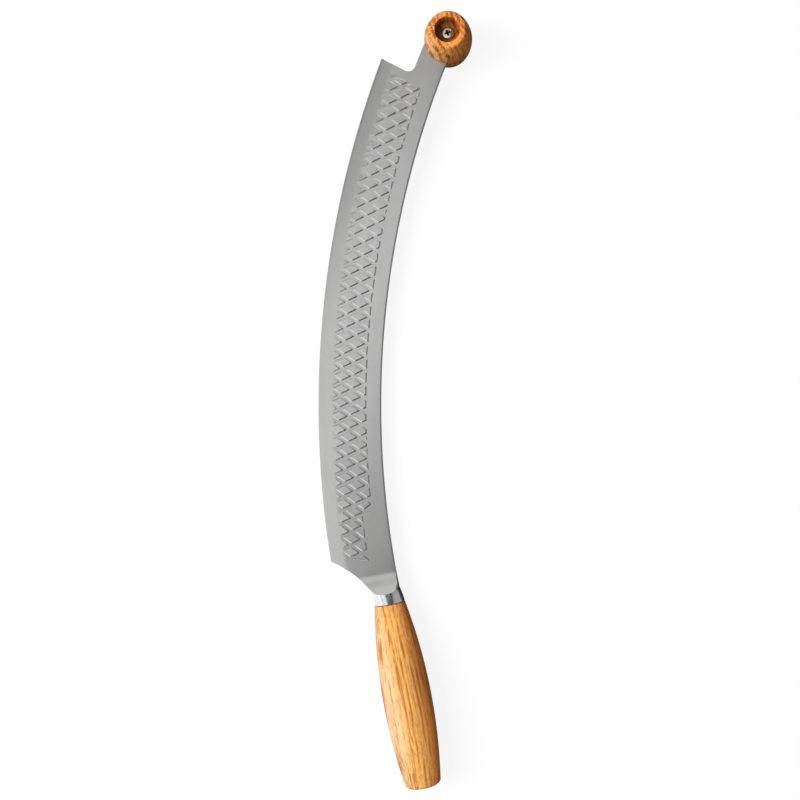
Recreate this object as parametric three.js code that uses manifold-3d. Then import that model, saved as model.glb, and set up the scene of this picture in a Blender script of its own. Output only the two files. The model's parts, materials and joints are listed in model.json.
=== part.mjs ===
// A rocking knife for pizza and cheese: a curved blade with a handle at its heel and a knob at its tip.
// Lengths are millimetres and angles degrees. Every piece is drawn in the blade's own frame:
// +X along the chord from heel to tip, +Y towards the cutting edge, +Z out of the front face.
// The origin is the cutting edge's middle, where angles along the blade, taken about its arc centre, start.

import * as THREE from 'three';
import { LoftGeometry } from 'three/addons/geometries/LoftGeometry.js';
import { mergeVertices } from 'three/addons/utils/BufferGeometryUtils.js';
import Module from 'manifold-3d';

// Blade: edge, arm and spine are arcs about one centre
const EDGE_RADIUS = 647;
const BLADE_WIDTH = 41.8;
const ARM_WIDTH = 18.8;
const BLADE_THICKNESS = 2.5;
const EDGE_THICKNESS = 0.5;
const GRIND_WIDTH = 9;
const HEEL_ANGLE = -15.07;
const TIP_ANGLE = 14.93;
const NOTCH_ANGLE = 14.63;
const NOTCH_ROUND = 6.5;
const CHOIL_LEAN = 31;
const CHOIL_HEEL_PULL = 14;
const CHOIL_NECK_PULL = 8;
const CHOIL_NECK_SIDE = 9;

// Field of raised diamonds on both faces
const DIAMOND_PITCH_ALONG = 8.836;
const DIAMOND_PITCH_ACROSS = 15.45;
const DIAMOND_FILL = 0.805;
const DIAMOND_TOP_FILL = 0.575;
const DIAMOND_HEIGHT = 0.48;
const DIAMOND_ROOT = 0.4;
const FIELD_TURN = 1.05;
const FIELD_START_ALONG = -18.29;
const FIELD_START_ACROSS = -16.85;
const FIELD_REACH = 4;
const FIELD_SPINE_MARGIN = 9.7;
const FIELD_HEEL_ANGLE = -15.1;
const FIELD_TIP_ANGLE = 14.2;
const FIELD_TIP_SPINE_ANGLE = 13.8;
const BARE_SPINE_MARGIN = 16.45;
const BARE_END_ANGLE = -12.2;

// Grip: where the handle's axis crosses the joint between bolster and wood
const JOINT_ANGLE = -18.125;
const JOINT_SPINE_OFFSET = 8.5;
const HANDLE_LEAN = 16.4;
const JOINT_RADIUS = 10.1;
const JOINT_GAP = 0.3;

// Neck and bolster, measured along the grip axis back from the joint
const RAMP_START = 22;
const RAMP_BEND = 0.25;
const RAMP_HEIGHT = 8.4;
const SHOULDER = 7.2;
const SHOULDER_SPAN = 13;
const SHOULDER_BOW = 7.5;
const BOLSTER_NOSE = 9;
const BOLSTER_NOSE_WIDTH = 18.6;
const BOLSTER_NOSE_HEIGHT = 18.6;
const BOLSTER_NOSE_SHIFT = 0.9;
const BOLSTER_NOSE_SQUARENESS = 2.3;
const NECK_FLARE = 0.4;

// Handle
const HANDLE_LENGTH = 120.5;
const BELLY_AT = 65;
const BELLY_RADIUS = 16.1;
const BUTT_RADIUS = 11.7;
const BUTT_DOME = 2.2;
const BUTT_ROUND = 0.8;

// Tang inside the handle
const TANG_WIDTH = 9;
const TANG_LENGTH = 78;
const TANG_CLEARANCE = 0.3;

// Knob: a barrel square to the blade
const KNOB_ANGLE = 17.43;
const KNOB_SPINE_OFFSET = 5.3;
const KNOB_LENGTH = 42;
const KNOB_RADIUS = 15.8;
const KNOB_FACE_RADIUS = 11.8;
const KNOB_BACK_RADIUS = 12.8;
const KNOB_RIM_ROUND = 0.6;
const COUNTERBORE_RADIUS = 8.2;
const COUNTERBORE_DEPTH = 9.9;
const SLOT_SIDE_GAP = 0.8;
const SLOT_FACE_GAP = 0.3;

// Knob screw
const SCREW_RADIUS = 2;
const SCREW_HEAD_RADIUS = 4;
const SCREW_HEAD_HEIGHT = 2.4;
const SCREW_HEAD_RIM = 0.9;
const SCREW_BITE = 13.6;
const SCREW_POINT = 3;
const SCREW_CLEARANCE = 0.3;
const SCREW_SEAT_GAP = 0.3;
const CROSS_SPAN = 4.8;
const CROSS_WIDTH = 1.4;
const CROSS_DEPTH = 1.7;

// Facets
const BLADE_SEGMENTS = 32;
const CURVE_SEGMENTS = 8;
const ROUND_SEGMENTS = 40;
const SMALL_SEGMENTS = 24;
const HANDLE_ROWS = 14;
const KNOB_ROWS = 10;
const BAR_ROWS = 8;
const DOME_ROWS = 4;
const FLATNESS = 0.002;
const MERGE_DISTANCE = 0.0001;

const SPINE_RADIUS = EDGE_RADIUS - BLADE_WIDTH;
const ARM_RADIUS = SPINE_RADIUS + ARM_WIDTH;
const BAND_RADIUS = SPINE_RADIUS + ARM_WIDTH / 2;
const HALF_BLADE = BLADE_THICKNESS / 2;
const HALF_KNOB = KNOB_LENGTH / 2;
const SEAT_HEIGHT = HALF_KNOB - COUNTERBORE_DEPTH;
const SCREW_END = -HALF_BLADE - SCREW_BITE;

// How far a cutter runs past what it cuts, and how often the lying pose is corrected
const OVERRUN = 2;
const CUTTER_REACH = 3 * JOINT_RADIUS;
const SETTLE_STEPS = 12;

const rad = THREE.MathUtils.degToRad;
const upward = new THREE.Vector3(0, 0, 1);
const wasm = await Module();
wasm.setup();

// A point of the blade plane from its distance to the arc centre and its angle along the blade
function onArc(radius, angle) {
  return new THREE.Vector2(radius * Math.sin(rad(angle)), radius * Math.cos(rad(angle)) - EDGE_RADIUS);
}

// The same angle as shape arcs count it, anticlockwise from +X
function arcAngle(angle) {
  return Math.PI / 2 - rad(angle);
}

// The angle that a length takes up along an arc
function angleOf(length, radius) {
  return THREE.MathUtils.radToDeg(length / radius);
}

const joint = onArc(SPINE_RADIUS + JOINT_SPINE_OFFSET, JOINT_ANGLE);
const knobCentre = onArc(SPINE_RADIUS + KNOB_SPINE_OFFSET, KNOB_ANGLE);

// Grip frame: +X along the handle away from the blade, +Y towards the spine side
const gripFrame = new THREE.Matrix4().makeRotationZ(Math.PI + rad(HANDLE_LEAN));
gripFrame.setPosition(joint.x, joint.y, 0);
const knobFrame = new THREE.Matrix4().makeTranslation(knobCentre.x, knobCentre.y, 0);

function gripPoint(along, across) {
  const point = new THREE.Vector3(along, across, 0).applyMatrix4(gripFrame);
  return new THREE.Vector2(point.x, point.y);
}

// A closed geometry as a solid that can be joined and cut
function solid(geometry, frame = new THREE.Matrix4()) {
  const bare = geometry.index ? geometry.toNonIndexed() : geometry.clone();
  bare.deleteAttribute('normal');
  bare.deleteAttribute('uv');
  bare.applyMatrix4(frame);
  const merged = mergeVertices(bare, MERGE_DISTANCE);
  const triVerts = withoutSlivers(merged.index.array);
  const vertProperties = merged.attributes.position.array;
  return new wasm.Manifold(new wasm.Mesh({ numProp: 3, vertProperties, triVerts }));
}

// Drops the triangles that have lost a side where a profile meets its axis
function withoutSlivers(index) {
  const kept = [];
  for (let i = 0; i < index.length; i += 3) {
    const [a, b, c] = index.slice(i, i + 3);
    if (a !== b && b !== c && c !== a) kept.push(a, b, c);
  }
  return new Uint32Array(kept);
}

function mesh(name, body, material) {
  const { vertProperties, triVerts } = body.getMesh();
  const geometry = new THREE.BufferGeometry();
  geometry.setAttribute('position', new THREE.BufferAttribute(vertProperties, 3));
  geometry.setIndex(new THREE.BufferAttribute(triVerts, 1));
  geometry.computeVertexNormals();
  const made = new THREE.Mesh(geometry, material);
  made.name = name;
  return made;
}

// A flat shape given height, even about the blade's middle plane
function slab(shape, height, curveSegments = CURVE_SEGMENTS) {
  const geometry = new THREE.ExtrudeGeometry(shape, { depth: height, bevelEnabled: false, curveSegments });
  return geometry.translate(0, 0, -height / 2);
}

// A profile of (radius, height) turned about +Z
function turned(profile, segments) {
  return new THREE.LatheGeometry(profile, segments).rotateX(Math.PI / 2);
}

function box(lengthX, lengthY, lengthZ, x, y, z) {
  return new THREE.BoxGeometry(lengthX, lengthY, lengthZ).translate(x, y, z);
}

function rod(radius, low, high) {
  const geometry = new THREE.CylinderGeometry(radius, radius, high - low, SMALL_SEGMENTS);
  return geometry.rotateX(Math.PI / 2).translate(0, 0, (low + high) / 2);
}

// The curve from the heel's corner into the neck
function addChoil(shape) {
  const heel = onArc(EDGE_RADIUS, HEEL_ANGLE);
  const neck = gripPoint(-SHOULDER / 2, -CHOIL_NECK_SIDE);
  const neckPull = gripPoint(-SHOULDER / 2 - CHOIL_NECK_PULL, -CHOIL_NECK_SIDE);
  const inward = arcAngle(HEEL_ANGLE + CHOIL_LEAN) + Math.PI;
  const pull = new THREE.Vector2(Math.cos(inward), Math.sin(inward)).multiplyScalar(CHOIL_HEEL_PULL);
  const heelPull = heel.clone().add(pull);
  shape.moveTo(neck.x, neck.y);
  shape.bezierCurveTo(neckPull.x, neckPull.y, heelPull.x, heelPull.y, heel.x, heel.y);
}

// The tip's end with the rounded notch between it and the arm
function addNotch(shape) {
  const tip = onArc(EDGE_RADIUS, TIP_ANGLE);
  const corner = onArc(ARM_RADIUS, NOTCH_ANGLE);
  const wall = corner.clone().add(tip.sub(corner).setLength(NOTCH_ROUND));
  const floor = onArc(ARM_RADIUS, NOTCH_ANGLE + angleOf(NOTCH_ROUND, ARM_RADIUS));
  shape.lineTo(wall.x, wall.y);
  shape.quadraticCurveTo(corner.x, corner.y, floor.x, floor.y);
}

// The arm's two arcs and its round end inside the knob, all grown by a clearance
function addArm(shape, startAngle, clearance) {
  const end = onArc(BAND_RADIUS, KNOB_ANGLE);
  const turn = arcAngle(KNOB_ANGLE);
  shape.absarc(0, -EDGE_RADIUS, ARM_RADIUS + clearance, arcAngle(startAngle), turn, true);
  shape.absarc(end.x, end.y, ARM_WIDTH / 2 + clearance, turn, turn - Math.PI, true);
}

function bladeOutline() {
  const shape = new THREE.Shape();
  addChoil(shape);
  shape.absarc(0, -EDGE_RADIUS, EDGE_RADIUS, arcAngle(HEEL_ANGLE), arcAngle(TIP_ANGLE), true);
  addNotch(shape);
  addArm(shape, NOTCH_ANGLE + angleOf(NOTCH_ROUND, ARM_RADIUS), 0);
  const neckAngle = JOINT_ANGLE + angleOf(SHOULDER / 2, SPINE_RADIUS);
  shape.absarc(0, -EDGE_RADIUS, SPINE_RADIUS, arcAngle(KNOB_ANGLE), arcAngle(neckAngle), false);
  shape.closePath();
  return shape;
}

// The grind cutter's section at one angle: what lies outside the ground flat, up to above the diamonds
function grindSection(angle, side) {
  const slope = (BLADE_THICKNESS - EDGE_THICKNESS) / 2 / GRIND_WIDTH;
  const reach = DIAMOND_HEIGHT / slope + OVERRUN;
  const top = HALF_BLADE + reach * slope + OVERRUN;
  const outer = onArc(EDGE_RADIUS + OVERRUN, angle);
  const inner = onArc(EDGE_RADIUS - GRIND_WIDTH - reach, angle);
  const section = [
    new THREE.Vector3(outer.x, outer.y, side * (EDGE_THICKNESS / 2 - OVERRUN * slope)),
    new THREE.Vector3(outer.x, outer.y, side * top),
    new THREE.Vector3(inner.x, inner.y, side * top),
    new THREE.Vector3(inner.x, inner.y, side * (HALF_BLADE + reach * slope)),
  ];
  return side > 0 ? section : section.reverse();
}

// What the grind takes off one face of the plate and its diamonds, swept along the edge
function grindCutter(side) {
  const sections = [];
  for (let i = 0; i <= BLADE_SEGMENTS; i++) {
    const angle = THREE.MathUtils.lerp(HEEL_ANGLE - OVERRUN, TIP_ANGLE + OVERRUN, i / BLADE_SEGMENTS);
    sections.push(grindSection(angle, side));
  }
  return solid(new LoftGeometry(sections, { capStart: true, capEnd: true }));
}

// The strip that the diamonds fill, narrower towards the heel
function fieldOutline() {
  const outer = EDGE_RADIUS - GRIND_WIDTH;
  const inner = SPINE_RADIUS + FIELD_SPINE_MARGIN;
  const bare = SPINE_RADIUS + BARE_SPINE_MARGIN;
  const shape = new THREE.Shape();
  shape.absarc(0, -EDGE_RADIUS, outer, arcAngle(FIELD_HEEL_ANGLE), arcAngle(FIELD_TIP_ANGLE), true);
  shape.absarc(0, -EDGE_RADIUS, inner, arcAngle(FIELD_TIP_SPINE_ANGLE), arcAngle(BARE_END_ANGLE), false);
  shape.absarc(0, -EDGE_RADIUS, bare, arcAngle(BARE_END_ANGLE), arcAngle(FIELD_HEEL_ANGLE), false);
  shape.closePath();
  return shape;
}

// Whether a diamond's middle is near enough to the strip to show in it
function nearField(x, y) {
  const radius = Math.hypot(x, y + EDGE_RADIUS);
  const angle = THREE.MathUtils.radToDeg(Math.atan2(x, y + EDGE_RADIUS));
  const past = angleOf(FIELD_REACH / 2, EDGE_RADIUS);
  const inner = SPINE_RADIUS + (angle < BARE_END_ANGLE ? BARE_SPINE_MARGIN : FIELD_SPINE_MARGIN);
  const across = radius > inner - FIELD_REACH && radius < EDGE_RADIUS - GRIND_WIDTH + FIELD_REACH;
  return across && angle > FIELD_HEEL_ANGLE - past && angle < FIELD_TIP_ANGLE + past;
}

// A diamond's four corners at one height, as a share of the pattern's cell
function diamondSection(x, y, fill, height) {
  const corners = [[1, 0], [0, 1], [-1, 0], [0, -1]];
  const centre = new THREE.Vector3(x, y, height);
  return corners.map(([along, across]) => {
    const corner = new THREE.Vector3(along * DIAMOND_PITCH_ALONG, across * DIAMOND_PITCH_ACROSS, 0);
    return corner.multiplyScalar(fill / 2).applyAxisAngle(upward, rad(FIELD_TURN)).add(centre);
  });
}

// One diamond standing on the front face, with sloping walls and a root sunk into the plate
function diamond(x, y) {
  const rootFill = DIAMOND_FILL + (DIAMOND_FILL - DIAMOND_TOP_FILL) * DIAMOND_ROOT / DIAMOND_HEIGHT;
  const root = diamondSection(x, y, rootFill, HALF_BLADE - DIAMOND_ROOT);
  const top = diamondSection(x, y, DIAMOND_TOP_FILL, HALF_BLADE + DIAMOND_HEIGHT);
  return new LoftGeometry([root, top], { capStart: true, capEnd: true });
}

// Every diamond of the front face, clipped to the strip
function diamondField() {
  const along = new THREE.Vector3(DIAMOND_PITCH_ALONG / 2, 0, 0).applyAxisAngle(upward, rad(FIELD_TURN));
  const across = new THREE.Vector3(0, DIAMOND_PITCH_ACROSS / 2, 0).applyAxisAngle(upward, rad(FIELD_TURN));
  const columns = Math.ceil(EDGE_RADIUS / DIAMOND_PITCH_ALONG);
  const rows = Math.ceil(2 * BLADE_WIDTH / DIAMOND_PITCH_ACROSS);
  const pieces = [];
  for (let i = -columns; i <= columns; i++) {
    for (let j = -rows; j <= rows; j++) {
      const x = FIELD_START_ALONG + i * along.x + j * across.x;
      const y = FIELD_START_ACROSS + i * along.y + j * across.y;
      if ((i + j) % 2 === 0 && nearField(x, y)) pieces.push(solid(diamond(x, y)));
    }
  }
  const strip = solid(slab(fieldOutline(), CUTTER_REACH, BLADE_SEGMENTS / 2));
  return wasm.Manifold.union(pieces).intersect(strip);
}

// The bar that neck and bolster are shaped from, cut across at one place on the grip axis:
// round at the joint and a rounded oblong from the bolster's nose on
function barSection(along) {
  const share = Math.min(-along / BOLSTER_NOSE, 1);
  const flare = NECK_FLARE * Math.max(0, -along - BOLSTER_NOSE);
  const halfWidth = THREE.MathUtils.lerp(JOINT_RADIUS, BOLSTER_NOSE_WIDTH / 2, share) + flare;
  const halfHeight = THREE.MathUtils.lerp(JOINT_RADIUS, BOLSTER_NOSE_HEIGHT / 2, share);
  const roundness = 2 / THREE.MathUtils.lerp(2, BOLSTER_NOSE_SQUARENESS, share);
  const shift = -BOLSTER_NOSE_SHIFT * (along / BOLSTER_NOSE) ** 2;
  const bulge = (value) => Math.sign(value) * Math.abs(value) ** roundness;
  const points = [];
  for (let i = 0; i < ROUND_SEGMENTS; i++) {
    const angle = 2 * Math.PI * (i + 0.5) / ROUND_SEGMENTS;
    const across = shift + halfWidth * bulge(Math.cos(angle));
    points.push(new THREE.Vector3(along, across, halfHeight * bulge(Math.sin(angle))));
  }
  return points;
}

function bar(start, end) {
  const sections = [];
  for (let i = 0; i <= BAR_ROWS; i++) {
    sections.push(barSection(THREE.MathUtils.lerp(start, end, i / BAR_ROWS)));
  }
  return solid(new LoftGeometry(sections, { capStart: true, capEnd: true }), gripFrame);
}

// Everything behind the bowed shoulder line, where the neck ends and the bolster starts
function behindShoulder(gap) {
  const start = -SHOULDER - SHOULDER_BOW + gap;
  const spineSide = SHOULDER_SPAN - BOLSTER_NOSE_SHIFT;
  const edgeSide = -SHOULDER_SPAN - BOLSTER_NOSE_SHIFT;
  const shape = new THREE.Shape();
  shape.moveTo(CUTTER_REACH, spineSide);
  shape.lineTo(start, spineSide);
  shape.absellipse(start, -BOLSTER_NOSE_SHIFT, SHOULDER_BOW, SHOULDER_SPAN, Math.PI / 2, -Math.PI / 2, true);
  shape.lineTo(CUTTER_REACH, edgeSide);
  shape.closePath();
  return solid(slab(shape, CUTTER_REACH), gripFrame);
}

// The neck's side view: a hollow ramp on each face that rises to the bolster
function rampProfile() {
  const middle = THREE.MathUtils.lerp(-RAMP_START, -SHOULDER, RAMP_BEND);
  const slope = (RAMP_HEIGHT - HALF_BLADE) / (-SHOULDER - middle);
  const top = RAMP_HEIGHT + SHOULDER * slope;
  const shape = new THREE.Shape();
  shape.moveTo(0, -top);
  shape.lineTo(0, top);
  shape.lineTo(-SHOULDER, RAMP_HEIGHT);
  shape.quadraticCurveTo(middle, HALF_BLADE, -RAMP_START, HALF_BLADE);
  shape.lineTo(-RAMP_START - OVERRUN, 0);
  shape.lineTo(-RAMP_START, -HALF_BLADE);
  shape.quadraticCurveTo(middle, -HALF_BLADE, -SHOULDER, -RAMP_HEIGHT);
  shape.closePath();
  return shape;
}

function neck() {
  const ramp = slab(rampProfile(), 2 * CUTTER_REACH).rotateX(Math.PI / 2);
  const envelope = bar(-RAMP_START - 2 * OVERRUN, 0);
  const plan = solid(slab(bladeOutline(), CUTTER_REACH));
  return solid(ramp, gripFrame).intersect(envelope).intersect(plan).subtract(behindShoulder(0));
}

function tang(clearance) {
  const start = -SHOULDER - OVERRUN;
  const length = TANG_LENGTH - start + clearance;
  const width = TANG_WIDTH + 2 * clearance;
  return box(length, width, BLADE_THICKNESS + 2 * clearance, start + length / 2, 0, 0);
}

function blade() {
  const plate = solid(slab(bladeOutline(), BLADE_THICKNESS, BLADE_SEGMENTS / 2)).subtract(behindShoulder(0));
  const front = diamondField();
  const hole = solid(rod(SCREW_RADIUS + SCREW_CLEARANCE, -BLADE_THICKNESS, BLADE_THICKNESS), knobFrame);
  const embossed = plate.add(front).add(front.mirror([0, 0, 1]));
  const ground = embossed.subtract(grindCutter(1)).subtract(grindCutter(-1)).subtract(hole);
  const joined = ground.add(neck()).add(solid(tang(0), gripFrame));
  return joined.asOriginal().simplify(FLATNESS);
}

function bolster() {
  const round = bar(-SHOULDER - SHOULDER_BOW, 0);
  return round.intersect(behindShoulder(JOINT_GAP)).subtract(solid(tang(TANG_CLEARANCE), gripFrame));
}

// The handle's radius at a distance from the joint: one bow up to the belly and one down to the butt
function handleRadius(along) {
  const end = along < BELLY_AT ? JOINT_RADIUS : BUTT_RADIUS;
  const span = along < BELLY_AT ? BELLY_AT : HANDLE_LENGTH - BELLY_AT;
  return BELLY_RADIUS - (BELLY_RADIUS - end) * ((along - BELLY_AT) / span) ** 2;
}

// Half of the handle's outline, from the joint to the butt, as radius and height
function handleProfile() {
  const points = [new THREE.Vector2(0, JOINT_GAP)];
  for (let i = 0; i <= HANDLE_ROWS; i++) {
    const along = THREE.MathUtils.lerp(JOINT_GAP, HANDLE_LENGTH - BUTT_ROUND, i / HANDLE_ROWS);
    points.push(new THREE.Vector2(handleRadius(along), along));
  }
  for (let i = DOME_ROWS; i >= 0; i--) {
    const share = i / DOME_ROWS;
    const dome = BUTT_DOME * (1 - share ** 2);
    points.push(new THREE.Vector2((BUTT_RADIUS - BUTT_ROUND) * share, HANDLE_LENGTH + dome));
  }
  return points;
}

function handle() {
  const wood = solid(turned(handleProfile(), ROUND_SEGMENTS).rotateY(Math.PI / 2), gripFrame);
  return wood.subtract(solid(tang(TANG_CLEARANCE), gripFrame));
}

// Half of the knob's outline, from its back face to its front face
function knobProfile() {
  const side = HALF_KNOB - KNOB_RIM_ROUND;
  const back = new THREE.Vector2(KNOB_BACK_RADIUS - KNOB_RIM_ROUND, -HALF_KNOB);
  const front = new THREE.Vector2(KNOB_FACE_RADIUS - KNOB_RIM_ROUND, HALF_KNOB);
  const points = [new THREE.Vector2(0, -HALF_KNOB), back];
  for (let i = 0; i <= KNOB_ROWS; i++) {
    const height = THREE.MathUtils.lerp(-side, side, i / KNOB_ROWS);
    const bulge = KNOB_RADIUS - (height < 0 ? KNOB_BACK_RADIUS : KNOB_FACE_RADIUS);
    points.push(new THREE.Vector2(KNOB_RADIUS - bulge * (height / HALF_KNOB) ** 2, height));
  }
  points.push(front, new THREE.Vector2(0, HALF_KNOB));
  return points;
}

// The slot that takes the arm, open towards the blade
function knobSlot() {
  const mouth = onArc(SPINE_RADIUS - SLOT_SIDE_GAP, TIP_ANGLE);
  const shape = new THREE.Shape();
  const outer = onArc(ARM_RADIUS + SLOT_SIDE_GAP, TIP_ANGLE);
  shape.moveTo(mouth.x, mouth.y);
  shape.lineTo(outer.x, outer.y);
  addArm(shape, TIP_ANGLE, SLOT_SIDE_GAP);
  shape.closePath();
  return solid(slab(shape, BLADE_THICKNESS + 2 * SLOT_FACE_GAP));
}

function knob() {
  const wood = solid(turned(knobProfile(), ROUND_SEGMENTS), knobFrame);
  const counterbore = solid(rod(COUNTERBORE_RADIUS, SEAT_HEIGHT, HALF_KNOB + OVERRUN), knobFrame);
  const pilot = solid(rod(SCREW_RADIUS + SCREW_CLEARANCE, SCREW_END - SCREW_CLEARANCE, HALF_KNOB), knobFrame);
  return wood.subtract(counterbore).subtract(pilot).subtract(knobSlot());
}

// Half of the screw's outline, from its point to the top of its pan head
function screwProfile() {
  const seat = SEAT_HEIGHT + SCREW_SEAT_GAP;
  const points = [
    new THREE.Vector2(0, SCREW_END),
    new THREE.Vector2(SCREW_RADIUS, SCREW_END + SCREW_POINT),
    new THREE.Vector2(SCREW_RADIUS, seat),
    new THREE.Vector2(SCREW_HEAD_RADIUS, seat),
  ];
  for (let i = DOME_ROWS; i >= 0; i--) {
    const share = i / DOME_ROWS;
    const crown = (SCREW_HEAD_HEIGHT - SCREW_HEAD_RIM) * Math.sqrt(1 - share ** 2);
    points.push(new THREE.Vector2(SCREW_HEAD_RADIUS * share, seat + SCREW_HEAD_RIM + crown));
  }
  return points;
}

function knobScrew() {
  const top = SEAT_HEIGHT + SCREW_SEAT_GAP + SCREW_HEAD_HEIGHT;
  const body = solid(turned(screwProfile(), SMALL_SEGMENTS), knobFrame);
  const slotA = solid(box(CROSS_SPAN, CROSS_WIDTH, 2 * CROSS_DEPTH, 0, 0, top), knobFrame);
  const slotB = solid(box(CROSS_WIDTH, CROSS_SPAN, 2 * CROSS_DEPTH, 0, 0, top), knobFrame);
  return body.subtract(slotA).subtract(slotB);
}

const satinSteel = new THREE.MeshStandardMaterial({ color: 0xa9a9a7, roughness: 0.45, metalness: 1 });
const polishedSteel = new THREE.MeshStandardMaterial({ color: 0xd0d2d4, roughness: 0.15, metalness: 1 });
const screwSteel = new THREE.MeshStandardMaterial({ color: 0xb9b4a8, roughness: 0.3, metalness: 1 });
const handleOak = new THREE.MeshStandardMaterial({ color: 0xcf9450, roughness: 0.6, metalness: 0 });
const knobOak = new THREE.MeshStandardMaterial({ color: 0xc08040, roughness: 0.6, metalness: 0 });

const knife = new THREE.Group();
knife.add(mesh('blade', blade(), satinSteel));
knife.add(mesh('bolster', bolster(), polishedSteel));
knife.add(mesh('handle', handle(), handleOak));
knife.add(mesh('knob', knob(), knobOak));
knife.add(mesh('knob_screw', knobScrew(), screwSteel));

// The point of a piece that lies furthest in one direction
function furthest(piece, direction) {
  const position = piece.geometry.attributes.position;
  const best = new THREE.Vector3().fromBufferAttribute(position, 0);
  const point = new THREE.Vector3();
  for (let i = 1; i < position.count; i++) {
    point.fromBufferAttribute(position, i);
    if (point.dot(direction) > best.dot(direction)) best.copy(point);
  }
  return best;
}

// The direction that faces down when the knife lies on its handle, cutting edge and knob
function downWhenLying() {
  const supports = ['handle', 'blade', 'knob'].map((name) => knife.getObjectByName(name));
  let down = upward.clone().negate();
  for (let i = 0; i < SETTLE_STEPS; i++) {
    const [a, b, c] = supports.map((piece) => furthest(piece, down));
    down = new THREE.Plane().setFromCoplanarPoints(a, b, c).normal;
    down.multiplyScalar(-Math.sign(down.z));
  }
  return down;
}

// Lays the part down on its lowest points, centred over the origin
function placed(group) {
  const root = new THREE.Group();
  root.add(group);
  group.quaternion.setFromUnitVectors(downWhenLying(), upward.clone().negate());
  root.updateMatrixWorld(true);
  const bounds = new THREE.Box3().setFromObject(root, true);
  const middle = bounds.getCenter(new THREE.Vector3());
  group.position.set(-middle.x, -middle.y, -bounds.min.z);
  return root;
}

export default placed(knife);
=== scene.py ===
"""A rocking knife for pizza and cheese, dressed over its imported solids, on a plain white stage."""

import json
import math
from collections import namedtuple

import bmesh
import bpy
from bpy.props import FloatProperty, FloatVectorProperty, PointerProperty
from mathutils import Matrix, Vector


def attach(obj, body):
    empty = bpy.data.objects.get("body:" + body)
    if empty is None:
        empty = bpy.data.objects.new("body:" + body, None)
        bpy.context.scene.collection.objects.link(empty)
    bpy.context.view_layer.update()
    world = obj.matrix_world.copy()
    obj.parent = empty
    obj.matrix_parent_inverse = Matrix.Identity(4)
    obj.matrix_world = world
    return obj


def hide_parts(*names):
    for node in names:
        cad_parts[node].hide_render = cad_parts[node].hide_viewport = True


bl_info = {
    "name": "Rocking knife",
    "version": (1, 0, 0),
    "blender": (4, 5, 0),
    "location": "3D View > Sidebar > Knife",
    "description": "Builds a curved pizza and cheese knife, piece by piece, over its packed solids",
    "category": "Mesh",
}

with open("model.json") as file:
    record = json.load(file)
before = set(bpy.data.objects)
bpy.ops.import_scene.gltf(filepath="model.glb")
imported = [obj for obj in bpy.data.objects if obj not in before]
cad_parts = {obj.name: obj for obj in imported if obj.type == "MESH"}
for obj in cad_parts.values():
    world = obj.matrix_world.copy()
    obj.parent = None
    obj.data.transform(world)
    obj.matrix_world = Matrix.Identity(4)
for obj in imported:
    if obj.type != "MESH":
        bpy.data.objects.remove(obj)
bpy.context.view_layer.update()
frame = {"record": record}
BODY = "root"
MM = 0.001

# Rows and columns of the meshes
NECK_COLUMNS = 44
BLADE_COLUMNS = 180
NOTCH_COLUMNS = 10
ARM_COLUMNS = 12
END_COLUMNS = 6
ARM_END_TURN = math.radians(80)
SPINE_STEPS = (0, 0.05, 0.15, 0.3, 0.5, 0.75)
BAND_ROWS = 10
FLAT_ROWS = 6
BEND_ROWS = 4
GRIND_ROWS = 5
ROUNDING_ROWS = 3
ROUND_SIDES = 160
COLLAR_ROWS = 16
HANDLE_ROWS = 72
KNOB_ROWS = 36
DOME_ROWS = 10
FILLET_STEPS = 6
SCREW_SIDES = 64
FLOOR_SIDES = 64
SHADE_COLUMNS = 24
SMOOTH_ANGLE = math.radians(32)

# Rounds of the two searches by trial
HALVINGS = 40
NOSE_PASSES = 12

# Cells of the diamonds' lattice that are tried, along and across the blade
CELLS_ALONG = range(-60, 61)
CELLS_ACROSS = range(-12, 13)

# A diamond's wall from its foot to its top, as shares of its width and its height
WALL_PROFILE = ((0, 0), (0.2, 0.12), (0.5, 0.5), (0.8, 0.88), (1, 1))
GRIND_CLEARANCE = 0.03 * MM

# How a wooden piece lies in its log, in millimetres of the piece's own frame: the log's direction, a point
# of its pith, and the distances from the pith where sapwood and heartwood begin and are full
Log = namedtuple("Log", "along pith sap heart")
# The piths lie beside the shaded sides, so that red heartwood paints shade there and pale sapwood paints a
# sheen on the lit sides
HANDLE_LOG = Log(along=(1, 0, 0), pith=(0, 88, -30), sap=(99, 107), heart=(96, 84))
KNOB_LOG = Log(along=(0, 0, 1), pith=(22, -32, 0), sap=(48, 58), heart=(50, 30))
# How far a growth ring strays, in millimetres, and how strongly sapwood and heartwood, with their painted
# sheen and shade, tint the wood
RING_SWAY = 2.4
LOG_TINT = 0.85

# The duller patches of polished steel against its full tone
POLISH_DULL = 0.94

# Painted shade in hollows: its colour on steel, the counterbore's share, and its soft edge in millimetres
RECESS_SHADE = (0.01, 0.008, 0.006)
BORE_SHADE_SHARE = 0.65
SHADE_BLEND = 0.3


def length(name, millimetres, description):
    """A property for a length, with its default in millimetres."""
    default = millimetres * MM
    return FloatProperty(name=name, description=description, default=default, unit="LENGTH", precision=5)


def angle(name, degrees, description):
    """A property for an angle, with its default in degrees."""
    return FloatProperty(name=name, description=description, default=math.radians(degrees), subtype="ANGLE")


def factor(name, value, description):
    """A property for a share between 0 and 1."""
    return FloatProperty(name=name, description=description, default=value, min=0, max=1, subtype="FACTOR")


def number(name, value, description):
    """A property for a plain number."""
    return FloatProperty(name=name, description=description, default=value, min=0)


def colour(name, value, description):
    """A property for a linear colour."""
    return FloatVectorProperty(
        name=name, description=description, default=value, size=3, min=0, max=1, subtype="COLOR"
    )


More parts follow.
